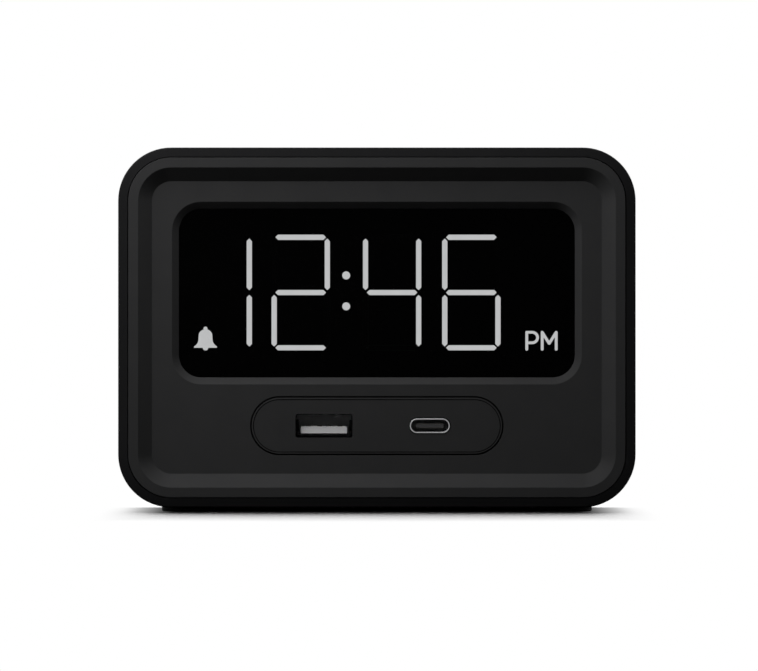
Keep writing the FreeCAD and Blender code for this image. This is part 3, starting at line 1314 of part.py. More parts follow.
def bent_strip(x, points, bend):
    """A flat cable of even thickness that follows corner points in a plane across X, with round bends."""
    path = []
    start = points[0]
    for before, corner, after in zip(points, points[1:], points[2:]):
        back = (before - corner).normalize()
        ahead = (after - corner).normalize()
        opening = back.getAngle(ahead)
        cut_back = bend / math.tan(opening / 2)
        inward = (back + ahead).normalize() * (bend / math.sin(opening / 2) - bend)
        first, last = corner + back * cut_back, corner + ahead * cut_back
        path.append(Part.LineSegment(start, first).toShape())
        path.append(Part.Arc(first, corner + inward, last).toShape())
        start = last
    path.append(Part.LineSegment(start, points[-1]).toShape())
    spine = Part.Wire(path)
    half_w, half_t = dim.cable_w.value / 2, dim.cable_t.value / 2
    along = (points[1] - points[0]).normalize()
    side = Vector(1, 0, 0)
    up = along.cross(side) * half_t
    side = side * half_w
    corners = [points[0] + reach for reach in (side + up, side - up, -side - up, up - side)]
    profile = Part.makePolygon(corners + corners[:1])
    strip = spine.makePipeShell([profile], True, True)
    strip.translate(Vector(x, 0, 0))
    return strip


def flat_cables():
    """Three flat cables from the main board to the other boards, and a connector at each end of each."""
    bend = dim.cable_bend.value
    half_w, tall, thick = dim.plug_w / 2, dim.plug_h, dim.plug_t
    display_y = display_board_y + dim.board_t
    usb_y = usb_board_y + dim.board_t
    display_z, usb_z, top_z = mid_z - dim.display_cable_drop, port_z, controls_z - dim.top_cable_drop
    display_x, usb_x, top_x = dim.display_cable_x, dim.usb_cable_x, dim.top_cable_x
    plugs = []
    for x, z, low_y in (
        (display_x, display_z, display_y),
        (display_x, display_z + dim.cable_step, main_front_y - thick),
        (usb_x, usb_z, usb_y),
        (usb_x, usb_z + dim.cable_step, main_front_y - thick),
        (top_x, top_z, main_front_y - thick),
    ):
        plugs.append(box((x - half_w, low_y, z - tall / 2), (x + half_w, low_y + thick, z + tall / 2)))
    top_low = top_board_low - thick
    plugs.append(box((top_x - half_w, -tall / 2, top_low), (top_x + half_w, tall / 2, top_board_low)))
    group("cable_connectors", plugs)
    end_y = (main_front_y - thick).value
    for label, x, z, start_y in (
        ("display_cable", display_x, display_z, display_y + thick),
        ("usb_cable", usb_x, usb_z, usb_y + thick),
    ):
        low_z, high_z = z.value, (z + dim.cable_step).value
        middle_y = (start_y.value + end_y) / 2
        points = [
            Vector(0, start_y.value, low_z),
            Vector(0, middle_y, low_z),
            Vector(0, middle_y, high_z),
            Vector(0, end_y, high_z),
        ]
        fixed_shape(label, bent_strip(x.value, points, bend))
    top_points = [
        Vector(0, 0, top_low.value),
        Vector(0, 0, top_z.value),
        Vector(0, end_y, top_z.value),
    ]
    fixed_shape("top_cable", bent_strip(top_x.value, top_points, bend))


def check_and_write():
    """Stop at anything that failed, then write each sub-part to its own file."""
    DOC.recompute()
    failed = [thing for thing in DOC.Objects if {"Invalid", "Error"} & set(thing.State)]
    faults = [f"{thing.Label}: {thing.State}" for thing in failed]
    for base, cut in CUTS:
        if not cut.Shape.Volume < base.Shape.Volume:
            faults.append(f"{cut.Name} takes nothing away from {base.Name}")
    for piece in PIECES:
        if piece.Shape.isNull() or not piece.Shape.isValid() or not piece.Shape.Solids:
            faults.append(f"{piece.Label}: shape is not sound")
    if faults:
        raise SystemExit("\n".join(faults))
    os.makedirs("parts", exist_ok=True)
    for piece in PIECES:
        piece.Shape.exportStep(f"parts/{piece.Label}.step")
    print(f"{len(PIECES)} sub-parts written")


for build_piece in (
    outer_shell,
    rubber_feet,
    front_bezel,
    display_lens,
    port_panel,
    usb_a_socket,
    usb_c_socket,
    usb_board,
    display_board,
    display_stack,
    top_controls,
    top_board,
    rear_cover,
    rear_cover_screws,
    rear_controls,
    main_board,
    board_parts,
    alarm_buzzer,
    power_inlet,
    battery_drawer,
    flat_cables,
):
    build_piece()
check_and_write()
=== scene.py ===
"""A bedside alarm clock with charging sockets: its finishes, moulded pieces, signs, studio and camera."""

import json
import logging
import math
from dataclasses import dataclass
from enum import Enum
from typing import Iterable, Sequence, Union

import bmesh
import bpy
from mathutils import Matrix, Vector

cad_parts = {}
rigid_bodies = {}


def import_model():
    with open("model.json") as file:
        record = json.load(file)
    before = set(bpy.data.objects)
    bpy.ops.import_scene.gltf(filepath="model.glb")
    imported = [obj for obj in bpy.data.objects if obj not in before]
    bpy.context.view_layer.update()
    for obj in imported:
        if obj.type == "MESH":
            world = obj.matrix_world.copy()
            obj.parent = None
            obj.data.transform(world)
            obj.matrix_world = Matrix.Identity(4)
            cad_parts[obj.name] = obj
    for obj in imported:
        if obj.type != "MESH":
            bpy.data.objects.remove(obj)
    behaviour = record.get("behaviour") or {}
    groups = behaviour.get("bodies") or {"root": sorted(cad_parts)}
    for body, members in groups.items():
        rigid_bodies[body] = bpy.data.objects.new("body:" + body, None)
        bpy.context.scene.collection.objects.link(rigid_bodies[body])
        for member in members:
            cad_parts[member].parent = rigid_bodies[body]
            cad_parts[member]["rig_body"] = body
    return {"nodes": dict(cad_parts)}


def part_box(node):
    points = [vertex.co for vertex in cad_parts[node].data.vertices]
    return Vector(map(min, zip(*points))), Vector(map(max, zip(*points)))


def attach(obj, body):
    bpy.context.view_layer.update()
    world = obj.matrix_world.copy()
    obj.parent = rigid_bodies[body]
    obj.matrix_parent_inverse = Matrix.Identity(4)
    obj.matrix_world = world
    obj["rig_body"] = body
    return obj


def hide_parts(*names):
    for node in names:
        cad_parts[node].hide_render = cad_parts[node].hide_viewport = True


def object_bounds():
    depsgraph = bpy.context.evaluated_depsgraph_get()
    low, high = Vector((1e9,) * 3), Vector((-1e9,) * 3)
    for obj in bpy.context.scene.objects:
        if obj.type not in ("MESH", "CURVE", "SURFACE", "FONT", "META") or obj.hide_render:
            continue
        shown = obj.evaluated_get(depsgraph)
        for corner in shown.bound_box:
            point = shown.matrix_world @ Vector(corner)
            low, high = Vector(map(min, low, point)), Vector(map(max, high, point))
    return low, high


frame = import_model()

CAD_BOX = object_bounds()
LOG = logging.getLogger("alarm_clock")
MM = 0.001
WELD = 1e-6  # corners nearer than this become one, in metres
FLAT_ANGLE = math.radians(0.3)  # faces that turn less than this are one
SHARP_ANGLE = math.radians(28)  # edges that turn more than this get a round
FACE_WEIGHT = 80  # over 50, large faces count for more in the shading of the edges between faces
ORIGIN = (0.0, 0.0, 0.0)
BLACK = (0.0, 0.0, 0.0)
WHITE = (1.0, 1.0, 1.0, 1.0)

Value = Union[float, Sequence[float], "Wire"]
Color = tuple[float, float, float]
Point = tuple[float, float]
Loop = list[Point]


# Node graphs


class Wire:
    """An output socket of a node graph. Arithmetic on it adds Math nodes."""

    def __init__(self, graph: "Graph", socket: bpy.types.NodeSocket) -> None:
        """Wrap a socket of the graph's tree."""
        self.graph = graph
        self.socket = socket

    def _math(self, operation: str, first: Value, second: Value) -> "Wire":
        """Add a Math node on two values."""
        return self.graph.node("ShaderNodeMath", {"operation": operation}, {0: first, 1: second})

    def __add__(self, other: Value) -> "Wire":
        """self + other."""
        return self._math("ADD", self, other)

    def __radd__(self, other: Value) -> "Wire":
        """other + self."""
        return self._math("ADD", other, self)

    def __sub__(self, other: Value) -> "Wire":
        """self - other."""
        return self._math("SUBTRACT", self, other)

    def __rsub__(self, other: Value) -> "Wire":
        """other - self."""
        return self._math("SUBTRACT", other, self)

    def __mul__(self, other: Value) -> "Wire":
        """self * other."""
        return self._math("MULTIPLY", self, other)

    def __rmul__(self, other: Value) -> "Wire":
        """other * self."""
        return self._math("MULTIPLY", other, self)

    def __gt__(self, other: Value) -> "Wire":
        """1 where self is over other, else 0."""
        return self._math("GREATER_THAN", self, other)

    def __abs__(self) -> "Wire":
        """self without its sign."""
        return self._math("ABSOLUTE", self, 0.0)

    def either(self, other: Value) -> "Wire":
        """The larger of the two."""
        return self._math("MAXIMUM", self, other)

    def fraction(self) -> "Wire":
        """What self has after its whole number."""
        return self._math("FRACT", self, 0.0)

    def zigzag(self, crest: Value) -> "Wire":
        """A wave that climbs to the crest and falls back to 0 as self grows."""
        return self._math("PINGPONG", self, crest)

    def ramp(self, low: float, high: float) -> "Wire":
        """A smooth climb from 0 at low to 1 at high, and level beyond them."""
        sockets = {"Value": self, "From Min": low, "From Max": high}
        return self.graph.node("ShaderNodeMapRange", {"interpolation_type": "SMOOTHSTEP"}, sockets)


class Graph:
    """The node tree of a material or a world, made from scratch."""

    def __init__(self, tree: bpy.types.NodeTree) -> None:
        """Take over a tree and empty it."""
        self.tree = tree
        tree.nodes.clear()

    def node(
        self,
        kind: str,
        settings: dict[str, object] | None = None,
        sockets: dict[str | int, Value] | None = None,
        out: str | int = 0,
    ) -> Wire:
        """Add a node.

        Args:
            kind: The node's type.
            settings: Its properties, which are set first.
            sockets: Values or wires for its input sockets, by name or index.
            out: The output that is returned.

        Returns:
            That output.
        """
        made = self.tree.nodes.new(kind)
        for name, value in (settings or {}).items():
            setattr(made, name, value)
        for name, value in (sockets or {}).items():
            if isinstance(value, Wire):
                self.tree.links.new(value.socket, made.inputs[name])
            else:
                made.inputs[name].default_value = value
        return Wire(self, made.outputs[out])

    def show(self, kind: str, surface: Wire) -> None:
        """Add the node that ends the graph, which shows a surface."""
        made = self.tree.nodes.new(kind)
        self.tree.links.new(surface.socket, made.inputs["Surface"])

    def place(self) -> Wire:
        """The point on the piece, in metres in its own frame."""
        return self.node("ShaderNodeTexCoord", out="Object")

    def vector(self, operation: str, first: Value, second: Value = ORIGIN, out: str = "Vector") -> Wire:
        """Add a Vector Math node on two vectors."""
        return self.node("ShaderNodeVectorMath", {"operation": operation}, {0: first, 1: second}, out)

    def along(self, vector: Value, axis: str) -> Wire:
        """The part of a vector along an axis, "X", "Y" or "Z"."""
        return self.node("ShaderNodeSeparateXYZ", None, {0: vector}, axis)

    def mix(self, factor: Value, first: Value, second: Value) -> Wire:
        """Mix two colours.

        Args:
            factor: 0 for the first colour, 1 for the second.
            first: A colour.
            second: Another colour.

        Returns:
            The mixed colour.
        """
        return self.node("ShaderNodeMix", {"data_type": "RGBA"}, {0: factor, 6: first, 7: second}, 2)

    def noise(self, vector: Value, scale: float, detail: float = 2.0) -> Wire:
        """Noise between 0 and 1 at a scale in features per metre."""
        sockets = {"Vector": vector, "Scale": scale, "Detail": detail}
        return self.node("ShaderNodeTexNoise", None, sockets, "Fac")

    def bump(self, height: Value, depth: float) -> Wire:
        """The normal of a relief, of which a height of 1 stands for a depth in metres."""
        return self.node("ShaderNodeBump", None, {"Strength": 1.0, "Distance": depth, "Height": height})


# Finishes

LINES_ALONG_X = (0.04, 1.0, 1.0)
LINES_ALONG_Y = (1.0, 0.05, 1.0)
ACROSS_Y = (1.0, 0.0, 1.0)
PITS = 0.5  # share of the sharp pits in a sparked relief
SWELL = 0.6  # share of the soft swell in it
SWELL_SCALE = 0.6  # features of the swell for each pit


def opaque(color: Sequence[float], factor: float = 1.0) -> tuple[float, ...]:
    """A colour times a factor, with full alpha."""
    return (*(part * factor for part in color), 1.0)


class Grain(Enum):
    """The fine relief of a surface."""

    SPARKED = "sparked"
    BRUSHED = "brushed"
    DRAWN = "drawn"
    POLISHED = "polished"


@dataclass(frozen=True)
class Finish:
    """A finish whose colour, roughness and relief vary finely over the surface.

    Attributes:
        name: Name of its material.
        color: Linear colour.
        roughness: Mean roughness.
        metallic: 1 for bare metal.
        gloss: Specular level, 0.5 for common plastics.
        grain: Kind of fine relief.
        grain_size: Size of one grain, in metres.
        grain_depth: Height of the relief, in metres.
        mottle: How far the colour varies, as a share.
        patch: Size of the patches in which it varies, in metres.
        spread: How far the roughness varies over the relief.
    """

    name: str
    color: Color
    roughness: float = 0.6
    metallic: float = 0.0
    gloss: float = 0.5
    grain: Grain = Grain.SPARKED
    grain_size: float = 0.25 * MM
    grain_depth: float = 0.012 * MM
    mottle: float = 0.08
    patch: float = 6 * MM
    spread: float = 0.16

    def material(self) -> bpy.types.Material:
        """The material of this finish, made once."""
        made = bpy.data.materials.get(self.name)
        if made is None:
            made = bpy.data.materials.new(self.name)
            made.use_nodes = True
            graph = Graph(made.node_tree)
            sockets = {**self.constants(), **self.varied(graph)}
            surface = graph.node("ShaderNodeBsdfPrincipled", None, sockets)
            graph.show("ShaderNodeOutputMaterial", surface)
            made.diffuse_color = opaque(self.color)
        return made

    def constants(self) -> dict[str | int, Value]:
        """Shader sockets that are the same all over."""
        return {"Metallic": self.metallic, "Specular IOR Level": self.gloss}

    def varied(self, graph: Graph) -> dict[str | int, Value]:
        """Shader sockets that vary over the surface."""
        relief = self.relief(graph)
        return {
            "Base Color": self.tone(graph, self.color),
            "Roughness": self.rough(relief),
            "Normal": graph.bump(relief, self.grain_depth),
        }

    def rough(self, relief: Wire) -> Wire:
        """The roughness over a relief, spread evenly about its mean."""
        return relief * self.spread + (self.roughness - self.spread / 2)

    def tone(self, graph: Graph, color: Color) -> Wire:
        """The colour, slightly lighter and darker in soft patches."""
        patches = graph.noise(graph.place(), 1 / self.patch, detail=3.0)
        return graph.mix(patches, opaque(color, 1 - self.mottle), opaque(color, 1 + self.mottle))

    def relief(self, graph: Graph) -> Wire:
        """The grain as a height of about 0 to 1."""
        place = graph.place()
        fine = 1 / self.grain_size
        if self.grain is Grain.BRUSHED:
            return graph.noise(graph.vector("MULTIPLY", place, LINES_ALONG_X), fine, detail=3.0)
        if self.grain is Grain.DRAWN:
            return graph.noise(graph.vector("MULTIPLY", place, LINES_ALONG_Y), fine)
        if self.grain is Grain.POLISHED:
            return graph.noise(place, fine, detail=1.0)
        pits = graph.node("ShaderNodeTexVoronoi", None, {"Vector": place, "Scale": fine}, "Distance")
        return pits * PITS + graph.noise(place, fine * SWELL_SCALE, detail=3.0) * SWELL


@dataclass(frozen=True)
class SmokedSheet(Finish):
    """Clear sheet with a smoke tint.

    Attributes:
        cover: Share of the light that the tint holds back.
    """

    cover: float = 0.45

    def constants(self) -> dict[str | int, Value]:
        """Shader sockets that are the same all over."""
        return {**super().constants(), "Alpha": self.cover}


@dataclass(frozen=True)
class TwoDepths(Finish):
    """A finish with one colour on the face of the piece and another deeper in. On the bezel and the port
    panel the deeper one is painted shade in their grooves and openings; on the large socket's shell the
    darker face colour is partly painted shade along its mouth.

    Attributes:
        face_y: Where the other colour starts, in metres.
        deep_color: Linear colour of what lies deeper.
        change: Depth over which one colour turns into the other, in metres.
        below_z: Only what is lower than this has the other colour, in metres.
    """

    face_y: float = 0.0
    deep_color: Color = BLACK
    change: float = 0.04 * MM
    below_z: float = 1.0

    def tone(self, graph: Graph, color: Color) -> Wire:
        """The colour or the deep colour, slightly lighter and darker in soft patches."""
        depth, height = (graph.along(graph.place(), axis) for axis in "YZ")
        deep = depth.ramp(self.face_y, self.face_y + self.change) * (1 - (height > self.below_z))
        return graph.mix(deep, super().tone(graph, color), super().tone(graph, self.deep_color))


@dataclass(frozen=True)
class SleevePlastic(Finish):
    """Satin plastic of a sleeve that lies along Y, with painted shade on what faces its axis inside its
    mouth.

    Attributes:
        axis_z: Height of the sleeve's axis, in metres.
        mouth_end: How far back the mouth reaches, as a Y value in metres.
        mouth_shade_color: Linear colour of the painted shade on what faces the axis there.
        facing: Least turn towards the axis that counts, in metres of lever.
    """

    axis_z: float = 0.0
    mouth_end: float = 0.0
    mouth_shade_color: Color = BLACK
    facing: float = 5 * MM

    def tone(self, graph: Graph, color: Color) -> Wire:
        """The colour outside and the painted shade in the mouth, slightly lighter and darker in soft patches.
        """
        place = graph.place()
        from_axis = graph.vector("SUBTRACT", place, (0.0, 0.0, self.axis_z))
        lever = graph.vector("MULTIPLY", from_axis, ACROSS_Y)
        normal = graph.node("ShaderNodeNewGeometry", out="Normal")
        outward = graph.vector("DOT_PRODUCT", normal, lever, "Value")
        behind = graph.along(place, "Y") > self.mouth_end
        # painted shade: what faces the axis inside the mouth takes the near-black colour, standing in for the
        # shade there
        painted_mouth_shade = 1 - (outward > -self.facing).either(behind)
        return graph.mix(painted_mouth_shade, super().tone(graph, color), super().tone(graph, self.mouth_shade_color))


@dataclass(frozen=True)
class LightGuide(Finish):
    """Milky plastic that is lit from behind.

    Attributes:
        glow: How brightly it shines, in the finish's colour.
        fall: How much less it shines in its dimmer patches, as a share.
        glow_patch: Size of those patches, in metres.
        own_color: Linear colour of the plastic itself.
    """

    spread: float = 0.1
    glow: float = 1.0
    fall: float = 0.08
    glow_patch: float = 3 * MM
    own_color: Color = (0.05, 0.05, 0.05)

    def constants(self) -> dict[str | int, Value]:
        """Shader sockets that are the same all over."""
        return {**super().constants(), "Emission Strength": self.glow}

    def varied(self, graph: Graph) -> dict[str | int, Value]:
        """Shader sockets that vary over the surface, with light that is a little uneven."""
        relief = self.relief(graph)
        patches = graph.noise(graph.place(), 1 / self.glow_patch, detail=1.0)
        return {
            "Base Color": self.tone(graph, self.own_color),
            "Emission Color": graph.mix(patches, opaque(self.color, 1 - self.fall), opaque(self.color)),
            "Roughness": self.rough(relief),
            "Normal": graph.bump(relief, self.grain_depth),
        }


@dataclass(frozen=True)
class CircuitBoard(Finish):
    """Solder mask over copper tracks.

    Attributes:
        track: Colour of the mask over a track.
        pitch: Distance between tracks, in metres.
        side_by_side: Tracks that step sideways together.
        bare: Share of the pitch without a track.
    """

    grain_depth: float = 0.03 * MM
    spread: float = 0.1
    track: Color = (0.035, 0.15, 0.07)
    pitch: float = 1.27 * MM
    side_by_side: int = 6
    bare: float = 0.62

    def varied(self, graph: Graph) -> dict[str | int, Value]:
        """Shader sockets that vary over the surface, with tracks that step sideways round each other."""
        cells = graph.node(
            "ShaderNodeTexVoronoi",
            {"distance": "MANHATTAN", "feature": "F1"},
            {"Vector": graph.place(), "Scale": 1 / (self.side_by_side * self.pitch)},
            "Distance",
        )
        track = (cells * self.side_by_side).fraction() > self.bare
        return {
            "Base Color": graph.mix(track, opaque(self.color), opaque(self.track)),
            "Roughness": self.rough(graph.noise(graph.place(), 1 / self.grain_size)),
            "Normal": graph.bump(track, self.grain_depth),
        }


@dataclass(frozen=True)
class FlatCable(Finish):
    """White film with a copper conductor every pitch, seen through it.

    Attributes:
        conductor: Colour of the film over a conductor.
        pitch: Distance between conductors, in metres.
        side: Where the side of a conductor starts and ends, as shares of the pitch.
    """

    grain_depth: float = 0.03 * MM
    spread: float = 0.1
    conductor: Color = (0.5, 0.42, 0.34)
    pitch: float = 1.0 * MM
    side: tuple[float, float] = (0.2, 0.3)

    def varied(self, graph: Graph) -> dict[str | int, Value]:
        """Shader sockets that vary over the surface, with stripes along the cable."""
        wave = graph.along(graph.place(), "X").zigzag(self.pitch / 2)
        stripe = wave.ramp(self.pitch * self.side[0], self.pitch * self.side[1])
        return {
            "Base Color": graph.mix(stripe, self.tone(graph, self.color), opaque(self.conductor)),
            "Roughness": self.rough(stripe),
            "Normal": graph.bump(stripe, self.grain_depth),
        }


SKIN = 0.01 * MM  # how far under a face the painted shade of its grooves and openings starts
WINDOW_AIR = 1.0 * MM  # the painted shade in the grooves ends this far above the port panel
SHELL_LIP = 0.3 * MM  # how deep the front edge of the large socket's shell is darker, partly as its black plating and partly as painted shade along the mouth
TONGUE_TIP = 1.0 * MM  # how much of the small socket's tongue counts as its tip
# painted shade: a near-black colour in the grooves and openings of the bezel and the port panel, where shade
# falls
GROOVE_PAINTED_SHADE = (0.002, 0.002, 0.002)
FACE_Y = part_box("port_panel")[0].y + SKIN
CLEAR_OF_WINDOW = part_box("port_panel")[1].z + WINDOW_AIR

CASE = Finish("case_black", (0.0125, 0.0125, 0.013), roughness=0.62, gloss=0.015)
# painted shade inside the sleeve's mouth
SHELL = SleevePlastic(
    "shell_black_mouth_shade",
    CASE.color,
    roughness=CASE.roughness,
    gloss=CASE.gloss,
    axis_z=(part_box("outer_shell")[0].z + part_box("outer_shell")[1].z) / 2,
    mouth_end=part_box("front_bezel")[1].y,
    mouth_shade_color=(0.001, 0.001, 0.001),
)
# painted shade in the gap round the port panel, below the display window
BEZEL = TwoDepths(
    "bezel_black_groove_shade",
    (0.036, 0.036, 0.0366),
    roughness=0.6,
    gloss=0.02,
    grain_depth=0.006 * MM,
    face_y=FACE_Y,
    deep_color=GROOVE_PAINTED_SHADE,
    below_z=CLEAR_OF_WINDOW,
)
PORT_PANEL = TwoDepths(
    "port_panel_black_groove_shade",
    (0.035, 0.035, 0.0356),
    roughness=0.6,
    gloss=0.02,
    grain_depth=0.006 * MM,
    face_y=FACE_Y,
    deep_color=GROOVE_PAINTED_SHADE,
)
CONTROL = Finish("control_black", (0.014, 0.014, 0.0145), roughness=0.55, gloss=0.05, grain_size=0.18 * MM)
LENS = SmokedSheet(
    "smoked_lens",
    (0.0015, 0.0015, 0.0016),
    roughness=0.22,
    gloss=0.008,
    cover=0.3,
    grain=Grain.POLISHED,
    grain_size=2 * MM,
    grain_depth=0.001 * MM,
)
LIT = LightGuide("lit_guide", (0.96, 0.97, 0.98), roughness=0.45, gloss=0.1, glow=1.1, grain=Grain.POLISHED)
UNLIT = Finish("unlit_guide", (0.0015, 0.0015, 0.0015), roughness=0.7, gloss=0.004, grain=Grain.POLISHED)
BLOCK = Finish("light_block_black", (0.001, 0.001, 0.001), roughness=0.8, gloss=0.004, grain_depth=0.003 * MM)
NICKEL = Finish(
    "nickel_shell",
    (0.27, 0.27, 0.275),
    roughness=0.34,
    metallic=1.0,
    grain=Grain.DRAWN,
    grain_size=0.08 * MM,
    grain_depth=0.002 * MM,
)
# partly painted shade: the large socket's shell is darkest along its front edge, which stands in for the
# shade round the mouth as well as its black plating
BLACK_SHELL_EDGE_SHADE = TwoDepths(
    "blackened_shell_edge_shade",
    (0.002, 0.002, 0.002),
    roughness=0.42,
    metallic=1.0,
    grain=Grain.DRAWN,
    grain_size=0.08 * MM,
    grain_depth=0.002 * MM,
    face_y=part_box("usb_a_shell")[0].y + SHELL_LIP,
    deep_color=(0.035, 0.035, 0.037),
)
# painted light and shade: the roof springs are pale where they catch light and the side springs black where
# they lie in shade, two copies of one spring metal
SPRING_PAINTED_LIGHT = Finish("spring_painted_light", (0.85, 0.85, 0.855), roughness=0.5, grain=Grain.DRAWN)
SPRING_PAINTED_SHADE = Finish("spring_painted_shade", (0.004, 0.004, 0.004), roughness=0.6, gloss=0.05, grain=Grain.DRAWN)
PALE_TONGUE = Finish("pale_tongue", (0.93, 0.93, 0.935), roughness=0.55, gloss=0.3, mottle=0.04)
DARK_TONGUE = TwoDepths(
    "dark_insulator_black",
    (0.055, 0.055, 0.0565),
    roughness=0.55,
    gloss=0.2,
    face_y=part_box("usb_c_tongue")[0].y + TONGUE_TIP,
    deep_color=(0.2, 0.2, 0.203),
)
CONTACT = Finish("contact_alloy", (0.15, 0.143, 0.13), roughness=0.5, metallic=1.0, grain=Grain.DRAWN)
# painted shade: the large socket's contacts are near-black, standing in for the dark line of shade above its
# tongue
CONTACT_PAINTED_SHADE = Finish("contact_painted_shade", (0.006, 0.006, 0.006), roughness=0.6, gloss=0.1, grain=Grain.DRAWN)
SCREW = Finish(
    "black_screw",
    (0.055, 0.055, 0.058),
    roughness=0.38,
    metallic=1.0,
    grain_size=0.12 * MM,
    grain_depth=0.004 * MM,
)
RUBBER = Finish("foot_rubber", (0.018, 0.018, 0.018), roughness=0.85, gloss=0.15, grain_size=0.12 * MM)
BOARD = CircuitBoard("green_board", (0.016, 0.085, 0.035), roughness=0.4)
CHIP = Finish("chip_epoxy", (0.02, 0.02, 0.021), roughness=0.6, gloss=0.4, grain_size=0.1 * MM)
SLEEVE = Finish("capacitor_sleeve_blue", (0.015, 0.025, 0.08), roughness=0.3, grain=Grain.POLISHED)
CAN = Finish("drawn_can", (0.68, 0.68, 0.69), roughness=0.25, metallic=1.0, grain=Grain.BRUSHED)
CELL = Finish(
    "cell_steel_plated",
    (0.6, 0.6, 0.6),
    roughness=0.45,
    metallic=1.0,
    grain=Grain.BRUSHED,
    grain_size=0.1 * MM,
    grain_depth=0.002 * MM,
)
FILM = FlatCable("white_film", (0.72, 0.72, 0.7), roughness=0.5)
NYLON = Finish("natural_nylon", (0.66, 0.62, 0.5), roughness=0.5, gloss=0.4, mottle=0.04)
PRINT = Finish("pad_print_grey", (0.4, 0.4, 0.4), roughness=0.6, gloss=0.2, grain_size=0.1 * MM, mottle=0.1)

SLOT_FINISHES: dict[str, Finish] = {
    "case_plastic": CASE,
    "bezel_plastic": BEZEL,
    "control_plastic": CONTROL,
    "tinted_lens": LENS,
    "lit_bar": LIT,
    "unlit_bar": UNLIT,
    "light_block": BLOCK,
    "circuit_board": BOARD,
    "socket_shell": NICKEL,
    "socket_insulator": PALE_TONGUE,
    "dark_insulator": DARK_TONGUE,
    "contact_metal": CONTACT,
    "screw_steel": SCREW,
    "rubber": RUBBER,
    "chip_plastic": CHIP,
    "capacitor_sleeve": SLEEVE,
    "crystal_can": CAN,
    "cell_steel": CELL,
    "cable_film": FILM,
    "connector_plastic": NYLON,
}
NODE_FINISHES: dict[str, Finish] = {
    "alarm_buzzer": CHIP,
    "rear_push_switches": CHIP,
    "top_push_switches": CHIP,
    # painted shade on the large socket's contacts
    "usb_a_contacts": CONTACT_PAINTED_SHADE,
    "dc_jack_pin": NICKEL,
}


# Meshes


def new_piece(
    name: str, shape: bmesh.types.BMesh, finish: Finish, body: str, rounded: bool = True
) -> bpy.types.Object:
    """Turn a shape into a piece that rides on a body.

    Args:
        name: Name of the piece.
        shape: Its mesh, which is freed.
        finish: Its finish.
        body: The body that it moves with.
        rounded: Whether its edges are rounded, so that its shading runs round them.

    Returns:
        The piece.
    """
    for face in shape.faces:
        face.smooth = rounded
    mesh = bpy.data.meshes.new(name)
    shape.to_mesh(mesh)
    shape.free()
    mesh.materials.append(finish.material())
    piece = bpy.data.objects.new(name, mesh)
    bpy.context.scene.collection.objects.link(piece)
    if rounded:
        piece.modifiers.new("even_shading", "WEIGHTED_NORMAL").weight = FACE_WEIGHT
    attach(piece, body)
    LOG.info("piece %s on %s: %d faces", name, body, len(mesh.polygons))
    return piece


def rounded_solid(node: str, radius: float, segments: int = 2) -> bmesh.types.BMesh:
    """A node's solid with its sharp edges rounded.

    Args:
        node: Name of the node.
        radius: How far the rounding reaches from each edge, in metres.
        segments: Faces across the rounding.

    Returns:
        The shape.
    """
    shape = bmesh.new()
    shape.from_mesh(frame["nodes"][node].data)
    bmesh.ops.remove_doubles(shape, verts=shape.verts, dist=WELD)
    bmesh.ops.dissolve_limit(shape, angle_limit=FLAT_ANGLE, verts=shape.verts, edges=shape.edges)
    sharp = [edge for edge in shape.edges if edge.is_manifold and edge.calc_face_angle() > SHARP_ANGLE]
    bmesh.ops.bevel(
        shape,
        geom=sharp,
        offset=radius,
        offset_type="OFFSET",
        segments=segments,
        profile=0.5,
        affect="EDGES",
        clamp_overlap=True,
    )
    return shape


def disc(x: float, y: float, radius: float, steps: int = 32) -> Loop:
    """A circle."""
    turn = [2 * math.pi * i / steps for i in range(steps)]
    return [(x + radius * math.cos(a), y + radius * math.sin(a)) for a in turn]


def turned_shape(shape: bmesh.types.BMesh, centre: Vector, profile: Sequence[Point], steps: int) -> None:
    """Add a solid of revolution about an upright axis.

    Args:
        shape: The mesh that gets it.
        centre: A point of the axis; heights count from it.
        profile: (radius, height) pairs that start and end on the axis.
        steps: Faces round the axis.
    """
    rings = []
    for radius, height in profile:
        ring = disc(0, 0, radius, steps) if radius else [(0, 0)]
        rings.append([shape.verts.new(centre + Vector((x, y, height))) for x, y in ring])
    for low, high in zip(rings, rings[1:]):
        for i in range(steps):
            j = (i + 1) % steps
            corners = [low[i % len(low)], low[j % len(low)], high[j % len(high)], high[i % len(high)]]
            shape.faces.new(list(dict.fromkeys(corners)))
    bmesh.ops.recalc_face_normals(shape, faces=shape.faces)


@dataclass
class Moulding:
    """A node's shape with the small edge rounds of the real piece.

    Attributes:
        node: The node that it stands for.
        finish: Its finish.
        edge: Reach of its edge rounds, in metres.
        segments: Faces across an edge round.
    """

    node: str
    finish: Finish
    edge: float
    segments: int = 2

    def build(self) -> None:
        """Make the piece in place of its node."""
        source = frame["nodes"][self.node]
        shape = rounded_solid(self.node, self.edge, self.segments)
        piece = new_piece(f"{self.node}_piece", shape, self.finish, source["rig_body"])
        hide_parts(self.node)


# Signs


class Facing(Enum):
    """The side that a sign is read from, as the axes of its right, its up and its front."""

    REAR = ((-1, 0, 0), (0, 0, 1), (0, 1, 0))
    TOP = ((1, 0, 0), (0, 1, 0), (0, 0, 1))

    def matrix(self, place: Vector) -> Matrix:
        """The frame of a sign at a place."""
        right, up, front = (Vector(axis) for axis in self.value)
        return Matrix.Translation(place) @ Matrix((right, up, front)).transposed().to_4x4()


def stroke(start: Point, end: Point, width: float, steps: int = 6) -> Loop:
    """A straight line of a pen with a round tip.

    Args:
        start: Middle of the pen at its start.
        end: Middle of the pen at its end.
        width: Width of the line.
        steps: Faces round half a tip.

    Returns:
        The outline of the line.
    """
    heading = math.atan2(end[1] - start[1], end[0] - start[0])
    outline = []
    for middle, first in ((start, heading + math.pi / 2), (end, heading - math.pi / 2)):
        for i in range(steps + 1):
            a = first + math.pi * i / steps
            outline.append((middle[0] + width / 2 * math.cos(a), middle[1] + width / 2 * math.sin(a)))
    return outline


